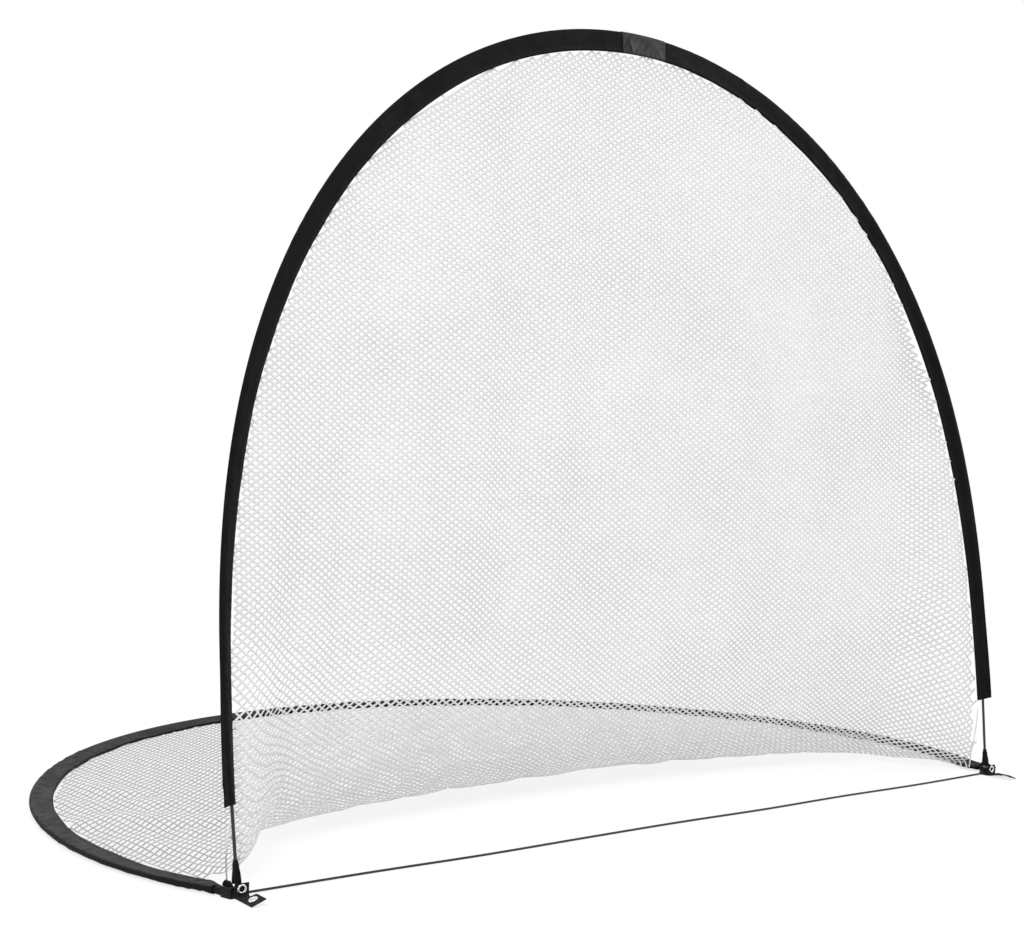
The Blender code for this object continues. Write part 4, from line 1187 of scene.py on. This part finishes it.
# %% [markdown]
# ## Cloth at the corners
#
# Short satin boots cover the ends of the rods. They are gathered round the rod, so folds run along them
# and fade out where the cloth is tight. The corner itself is wrapped in crumpled cloth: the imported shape
# is remeshed finely, and only its outer side is pushed out by small waves, so the hinge keeps its room.

# %% Boots
BOOT_HOLE = 0.0047
BOOT_RADIUS = 0.00725
BOOT_TOP_HOLE = 0.0031
BOOT_TOP_RADIUS = 0.0040
BOOT_RINGS = 40
BOOT_SIDES = 56


def make_boot(name, node, rod, place, first, last, body, seed):
    """Gathered boot round a rod, from its wide end at first to its tied end at last.

    Past the socket the hole closes on to the rod. A short boot ends on the socket and stays wide.
    """
    share = np.linspace(0, 1, BOOT_RINGS)[:, None]
    turn = np.linspace(0, 2 * pi, BOOT_SIDES, endpoint=False)[None, :]
    tied = 1.0 if abs(last - first) > 0.03 else 0.0
    taper = smoothstep((share - 0.10) / 0.90) * (0.45 + 0.55 * tied)
    closing = smoothstep((share - 0.78) / 0.16) * tied
    hole = (BOOT_HOLE + (BOOT_TOP_HOLE - BOOT_HOLE) * closing)[:, 0]
    smooth_outer = BOOT_RADIUS + (BOOT_TOP_RADIUS - BOOT_RADIUS) * taper
    folds = 0.55 * np.cos(5 * turn + seed + 1.2 * share) + 0.30 * np.cos(8 * turn - 2.0 * share + 2 * seed)
    folds = folds + 0.25 * np.cos(3 * turn + 9 * share + seed)
    outer = smooth_outer + 0.0006 * folds * smoothstep((1 - share) / 0.15)
    outer = np.maximum(outer, hole[:, None] + 0.0005)
    path = on_rod(rod, place, first + (last - first) * share[:, 0])
    add_piece(name, walled_tube(name, path, outer, hole), "cloth", body, node)


for boot, rod, place, first, last, body, seeds in (
        ("leg_boot", front_rod, stand, 0.0092, 0.0440, "front_hoop", (0.4, 2.1)),
        ("ground_boot", ground_rod, lay, 0.0095, 0.0262, "root", (3.3, 5.2))):
    for (side, side_name), seed in zip(SIDES, seeds):
        ends = (first, last) if side < 0 else (rod.length - first, rod.length - last)
        make_boot(f"{boot}_gathered_{side_name}", f"{boot}_{side_name}", rod, place, *ends, body, seed)

# %% Crumpled corners
SHOE_FRONT = 0.013
SHOE_BACK = 0.008
CRUMPLE_VOXEL = 0.0006
CRUMPLE_HEIGHT = 0.0011


def crumple(side, side_name):
    """The corner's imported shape, wrapped in cloth: outer faces pushed out in small folds."""
    node = cad_nodes[f"corner_shoe_{side_name}"]
    carrier = show("corner_carrier", node.data.copy())
    carrier.data.transform(node.matrix_world)
    remesh = carrier.modifiers.new("Fine", "REMESH")
    remesh.mode = "VOXEL"
    remesh.voxel_size = CRUMPLE_VOXEL
    name = f"corner_cloth_{side_name}"
    mesh = settled(carrier, name)
    points, normals = np.empty(len(mesh.vertices) * 3), np.empty(len(mesh.vertices) * 3)
    mesh.vertices.foreach_get("co", points)
    mesh.vertex_normals.foreach_get("vector", normals)
    points, normals = points.reshape(-1, 3), normals.reshape(-1, 3)
    centre = np.array((side * (GOAL_WIDTH / 2 + 0.004), hinge_y - (SHOE_FRONT - SHOE_BACK) / 2, 0.006))
    away = points - centre
    away[:, 2] *= 0.5
    away /= np.linalg.norm(away, axis=1)[:, None]
    outward = smoothstep(((normals * away).sum(axis=1) - 0.2) / 0.4)
    x, y, z = points.T
    fold = 1 - np.abs(np.tanh(1.4 * ripples(x + 0.5 * z, y - 0.7 * z, 0.011, 0.012, 61)))
    soft = ripples(x - 0.6 * z, y + 0.5 * z, 0.005, 0.006, 62)
    push = outward * smoothstep(z / 0.003) * CRUMPLE_HEIGHT * (fold ** 2 + 0.18 * soft)
    mesh.vertices.foreach_set("co", (points + normals * push[:, None]).ravel())
    add_piece(name, outward_mesh(mesh), "corner", "root", f"corner_shoe_{side_name}")


for side, side_name in SIDES:
    crumple(side, side_name)

# %% [markdown]
# ## Tabs and eyelets
#
# A strip of webbing runs down the front of each corner and out over the ground, with a pressed eyelet
# in each part for the ground pegs. The strip twists as it leaves the bend. The holes are cut before the
# rings go in, and each ring is one rounded profile turned about its axis.

# %% Tab
TAB_WIDTH = 0.025
TAB_THICKNESS = 0.0016
TAB_REACH = 0.052
TAB_TWIST = tan(radians(20.0))
TAB_BEND = 0.004
TAB_MARGIN = 0.0012
TAB_EYELET_FROM_TIP = 0.019
EYELET_DIAMETER = 0.0155
EYELET_HOLE = 0.0084
EYELET_METAL = 0.0007
TAB_BACK = SHOE_FRONT + EYELET_METAL + 0.0006
TAB_LEVEL = TAB_THICKNESS / 2 + EYELET_METAL + 0.0006
TAB_EYELET_HEIGHT = TAB_LEVEL + TAB_BEND + EYELET_DIAMETER / 2 + 0.0003
TAB_FACE_Y = -TAB_BACK - TAB_THICKNESS / 2
TAB_TIP_Y = TAB_FACE_Y - TAB_BEND - TAB_REACH


def at_corner(side, points):
    """Places points given for the left corner: x towards the goal, y back, from the foot on the ground."""
    points = np.asarray(points, float)
    return points * (-side, 1, 1) + (side * GOAL_WIDTH / 2, hinge_y, 0.0)


def tab_frames():
    """Middle line of the webbing in side view: (y, z, pitch, slope across)."""
    top = TAB_EYELET_HEIGHT + EYELET_DIAMETER / 2 + TAB_MARGIN
    frames = [(TAB_FACE_Y, z, pi / 2, 0.0) for z in np.linspace(top, TAB_LEVEL + TAB_BEND, 9)[:-1]]
    for pitch in np.linspace(pi / 2, 0, 9):
        frames.append((TAB_FACE_Y - TAB_BEND * (1 - sin(pitch)), TAB_LEVEL + TAB_BEND * (1 - cos(pitch)), pitch, 0.0))
    flat_from = TAB_TIP_Y + TAB_EYELET_FROM_TIP + EYELET_DIAMETER / 2 + TAB_MARGIN
    for y in np.linspace(TAB_FACE_Y - TAB_BEND, TAB_TIP_Y, 26)[1:]:
        share = (TAB_FACE_Y - TAB_BEND - y) / (TAB_FACE_Y - TAB_BEND - flat_from)
        frames.append((y, TAB_LEVEL, 0.0, TAB_TWIST * float(smoothstep(share))))
    return frames


def tab_outline():
    """Rounded section of the webbing, as (across, thickness) shares."""
    corners = [(-0.5, 0.0), (-0.49, -0.35), (-0.465, -0.5)]
    half = corners + [(a, -0.5) for a in np.linspace(-0.4, 0.4, 9)] + [(-a, t) for a, t in corners[::-1]]
    return half + [(-a, -t) for a, t in half[1:-1]]


def ring_place(side, centre, direction):
    """Matrix that stands a ring made about Z at a place of one corner."""
    axis = Vector(direction) * 1.0
    axis.x *= -side
    turn = Vector((0, 0, 1)).rotation_difference(axis.normalized()).to_matrix().to_4x4()
    return Matrix.Translation(Vector(at_corner(side, centre))) @ turn


def ring_places(side):
    slope_place = (0.0, TAB_TIP_Y + TAB_EYELET_FROM_TIP, TAB_LEVEL + TAB_WIDTH / 2 * TAB_TWIST)
    return {"corner_eyelet": ring_place(side, (0.0, TAB_FACE_Y, TAB_EYELET_HEIGHT), (0, -1, 0)),
            "tab_eyelet": ring_place(side, slope_place, (-TAB_TWIST, 0, 1))}


def make_tab(side, side_name):
    rings = []
    for y, z, pitch, slope in tab_frames():
        rings.append(at_corner(side, [
            (across * TAB_WIDTH, y - thick * TAB_THICKNESS * sin(pitch),
             z + thick * TAB_THICKNESS * cos(pitch) + (across + 0.5) * TAB_WIDTH * slope)
            for across, thick in tab_outline()]))
    rings = np.array(rings)
    around = np.linspace(0, 2 * TAB_WIDTH, rings.shape[1] + 1)
    name = f"peg_tab_woven_{side_name}"
    solid = show(name, loft(name, rings, lengths_along(rings[:, 0]), around))
    cutters = []
    for key, place in ring_places(side).items():
        bm = bmesh.new()
        bmesh.ops.create_cone(bm, cap_ends=True, segments=48, radius1=EYELET_HOLE / 2 + 0.001,
                              radius2=EYELET_HOLE / 2 + 0.001, depth=0.006)
        mesh = bpy.data.meshes.new("hole")
        bm.to_mesh(mesh)
        bm.free()
        mesh.transform(place)
        cut = solid.modifiers.new(key, "BOOLEAN")
        cut.operation = "DIFFERENCE"
        cut.object = show("hole", mesh)
        cutters.append(cut.object)
    mesh = settled(solid, name)
    for spare in cutters:
        bpy.data.objects.remove(spare)
    add_piece(name, mesh, "webbing", "root", f"peg_tab_{side_name}")


# %% Eyelets
def make_rings(side, side_name):
    """Each ring is a closed profile of (radius, height) points, turned about Z."""
    bore, outer = EYELET_HOLE / 2, EYELET_DIAMETER / 2
    seat = TAB_THICKNESS / 2 + 0.00015
    top = seat + EYELET_METAL
    upper = [(outer, seat), (outer - 0.0001, seat + 0.0004), (outer - 0.0006, top), (outer - 0.0014, top + 0.0002),
             (bore + 0.0012, top + 0.0002), (bore + 0.0005, top), (bore + 0.0001, seat + 0.0002), (bore, 0.0002)]
    profile = np.array(upper + [(r, -z) for r, z in upper[::-1]]
                       + [(bore + EYELET_METAL, -seat), (bore + EYELET_METAL, seat)])
    sides = 56
    turn = np.arange(sides) * 2 * pi / sides
    rings = [np.stack((profile[:, 0] * cos(a), profile[:, 0] * sin(a), profile[:, 1]), axis=-1) for a in turn]
    for key, place in ring_places(side).items():
        name = f"{key}_pressed_{side_name}"
        mesh = loft(name, rings, np.arange(sides + 1) * 0.036 / sides, np.linspace(0, 0.02, len(profile) + 1),
                    joined_ends=True)
        mesh.transform(place)
        add_piece(name, mesh, "eyelet", "root", f"{key}_{side_name}")


for side, side_name in SIDES:
    make_tab(side, side_name)
    make_rings(side, side_name)

# %% A loose fold beside each leg
FOLD_FOOT = 0.0105
FOLD_HEIGHT = 0.0115
FOLD_FRONT = -0.0125
FOLD_LENGTH = 0.040

for side, side_name in SIDES:
    share = np.linspace(0, 1, 44)
    turn = np.linspace(0, 2 * pi, 18, endpoint=False)
    rise = (1 - np.cos(turn)) / 2
    rings = []
    for s in share:
        height = 0.002 + FOLD_HEIGHT * abs(sin(pi * s)) ** 0.4 + 0.0006 * cos(17 * s)
        out = 0.0099 + 0.0004 * cos(11 * s) + 0.0012 * rise - 0.0008 * np.sin(turn)
        back = FOLD_FRONT + FOLD_LENGTH * s + 0 * turn
        rings.append(at_corner(side, np.stack((-out, back, FOLD_FOOT + height * rise), axis=-1)))
    name = f"corner_fold_{side_name}"
    mesh = loft(name, rings, FOLD_LENGTH * share, np.linspace(0, 0.02, len(turn) + 1))
    add_piece(name, mesh, "corner", "root", f"corner_shoe_{side_name}")

# %% [markdown]
# ## Metal inside the corners
#
# The brackets, sockets, ferrules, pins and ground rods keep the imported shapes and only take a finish.

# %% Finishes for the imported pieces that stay
STEEL_PIECES = ("hinge_bracket", "hinge_pin", "leg_socket", "front_ferrule", "ground_ferrule")
for name, node in cad_nodes.items():
    if name.startswith(STEEL_PIECES + ("ground_rod",)):
        node.data.materials.clear()
        node.data.materials.append(FINISH["rod" if name.startswith("ground_rod") else "steel"])

# %% [markdown]
# ## Floor, background and light
#
# The photograph has no floor edge and almost no shadow: a pale sweep lit from all round. Here a pale
# floor takes the shadow, a part of its brightness is its own so that it fades into the background, and
# the world shows white to the camera and to reflections. Four large soft lamps give the satin its long
# highlights.

# %% Floor
FLOOR_HALF = 30.0
FLOOR_OWN_LIGHT = 0.72
SHADE_RADIUS = 1.3
SHADE_FADE = 1.5


def make_floor():
    mesh = bpy.data.meshes.new("pale_floor")
    corners = [(x * FLOOR_HALF, y * FLOOR_HALF, 0) for x, y in ((-1, -1), (1, -1), (1, 1), (-1, 1))]
    mesh.from_pydata(corners, [], [(0, 1, 2, 3)])
    material = bpy.data.materials.new("pale_floor")
    material.use_nodes = True
    tree = Tree(material.node_tree)
    shader = tree.nodes["Principled BSDF"]
    for label, value in (("Base Color", (0.9, 0.9, 0.9, 1.0)), ("Roughness", 0.9), ("Specular IOR Level", 0.1)):
        tree.give(value, shader.inputs[label])
    own = tree.put("ShaderNodeEmission", {"Color": (1.0, 1.0, 1.0, 1.0), "Strength": 1.0})[0]
    path = tree.put("ShaderNodeLightPath")
    seen = tree.reckon("MAXIMUM", path["Is Camera Ray"], path["Is Glossy Ray"])
    away = tree.vector("LENGTH", tree.put("ShaderNodeTexCoord")["Object"])
    own_share = tree.spread(away, SHADE_RADIUS, SHADE_RADIUS + SHADE_FADE, FLOOR_OWN_LIGHT, 1.0,
                            interpolation_type="SMOOTHSTEP")
    share = tree.times(tree.reckon("MAXIMUM", seen, path["Is Transmission Ray"]), own_share)
    mixed = tree.put("ShaderNodeMixShader", {0: share, 1: shader.outputs[0], 2: own})[0]
    tree.give(mixed, tree.nodes["Material Output"].inputs["Surface"])
    floor = show("pale_floor", mesh)
    mesh.materials.append(material)


make_floor()

# %% World and lamps
WORLD_LIGHT = 0.62


def make_world():
    world = bpy.data.worlds.new("white_sweep")
    world.use_nodes = True
    bpy.context.scene.world = world
    tree = Tree(world.node_tree)
    sky = tree.nodes["Background"].inputs
    path = tree.put("ShaderNodeLightPath")
    seen = tree.reckon("MAXIMUM", path["Is Camera Ray"],
                       tree.reckon("MAXIMUM", path["Is Glossy Ray"], path["Is Transmission Ray"]))
    tree.give((1.0, 1.0, 1.0, 1.0), sky["Color"])
    tree.give(tree.spread(seen, 0.0, 1.0, WORLD_LIGHT, 1.0), sky["Strength"])


make_world()
for name, place, target, size, power in (
        ("key_lamp", (-3.2, -3.4, 4.2), (0.0, 0.0, 0.6), 2.6, 190),
        ("fill_lamp", (3.6, -2.6, 2.8), (0.0, 0.0, 0.6), 3.0, 80),
        ("back_lamp", (0.5, 4.2, 3.2), (0.0, 0.0, 0.6), 3.0, 70),
        ("side_lamp", (-4.2, -0.4, 1.0), (-0.9, -0.65, 0.4), 1.2, 60)):
    lamp = show(name, bpy.data.lights.new(name, "AREA"))
    lamp.data.shape = "DISK"
    lamp.data.size = size
    lamp.data.energy = power
    lamp.location = place
    lamp.rotation_euler = (Vector(target) - Vector(place)).to_track_quat("-Z", "Y").to_euler()
bpy.context.scene.view_settings.view_transform = "Standard"
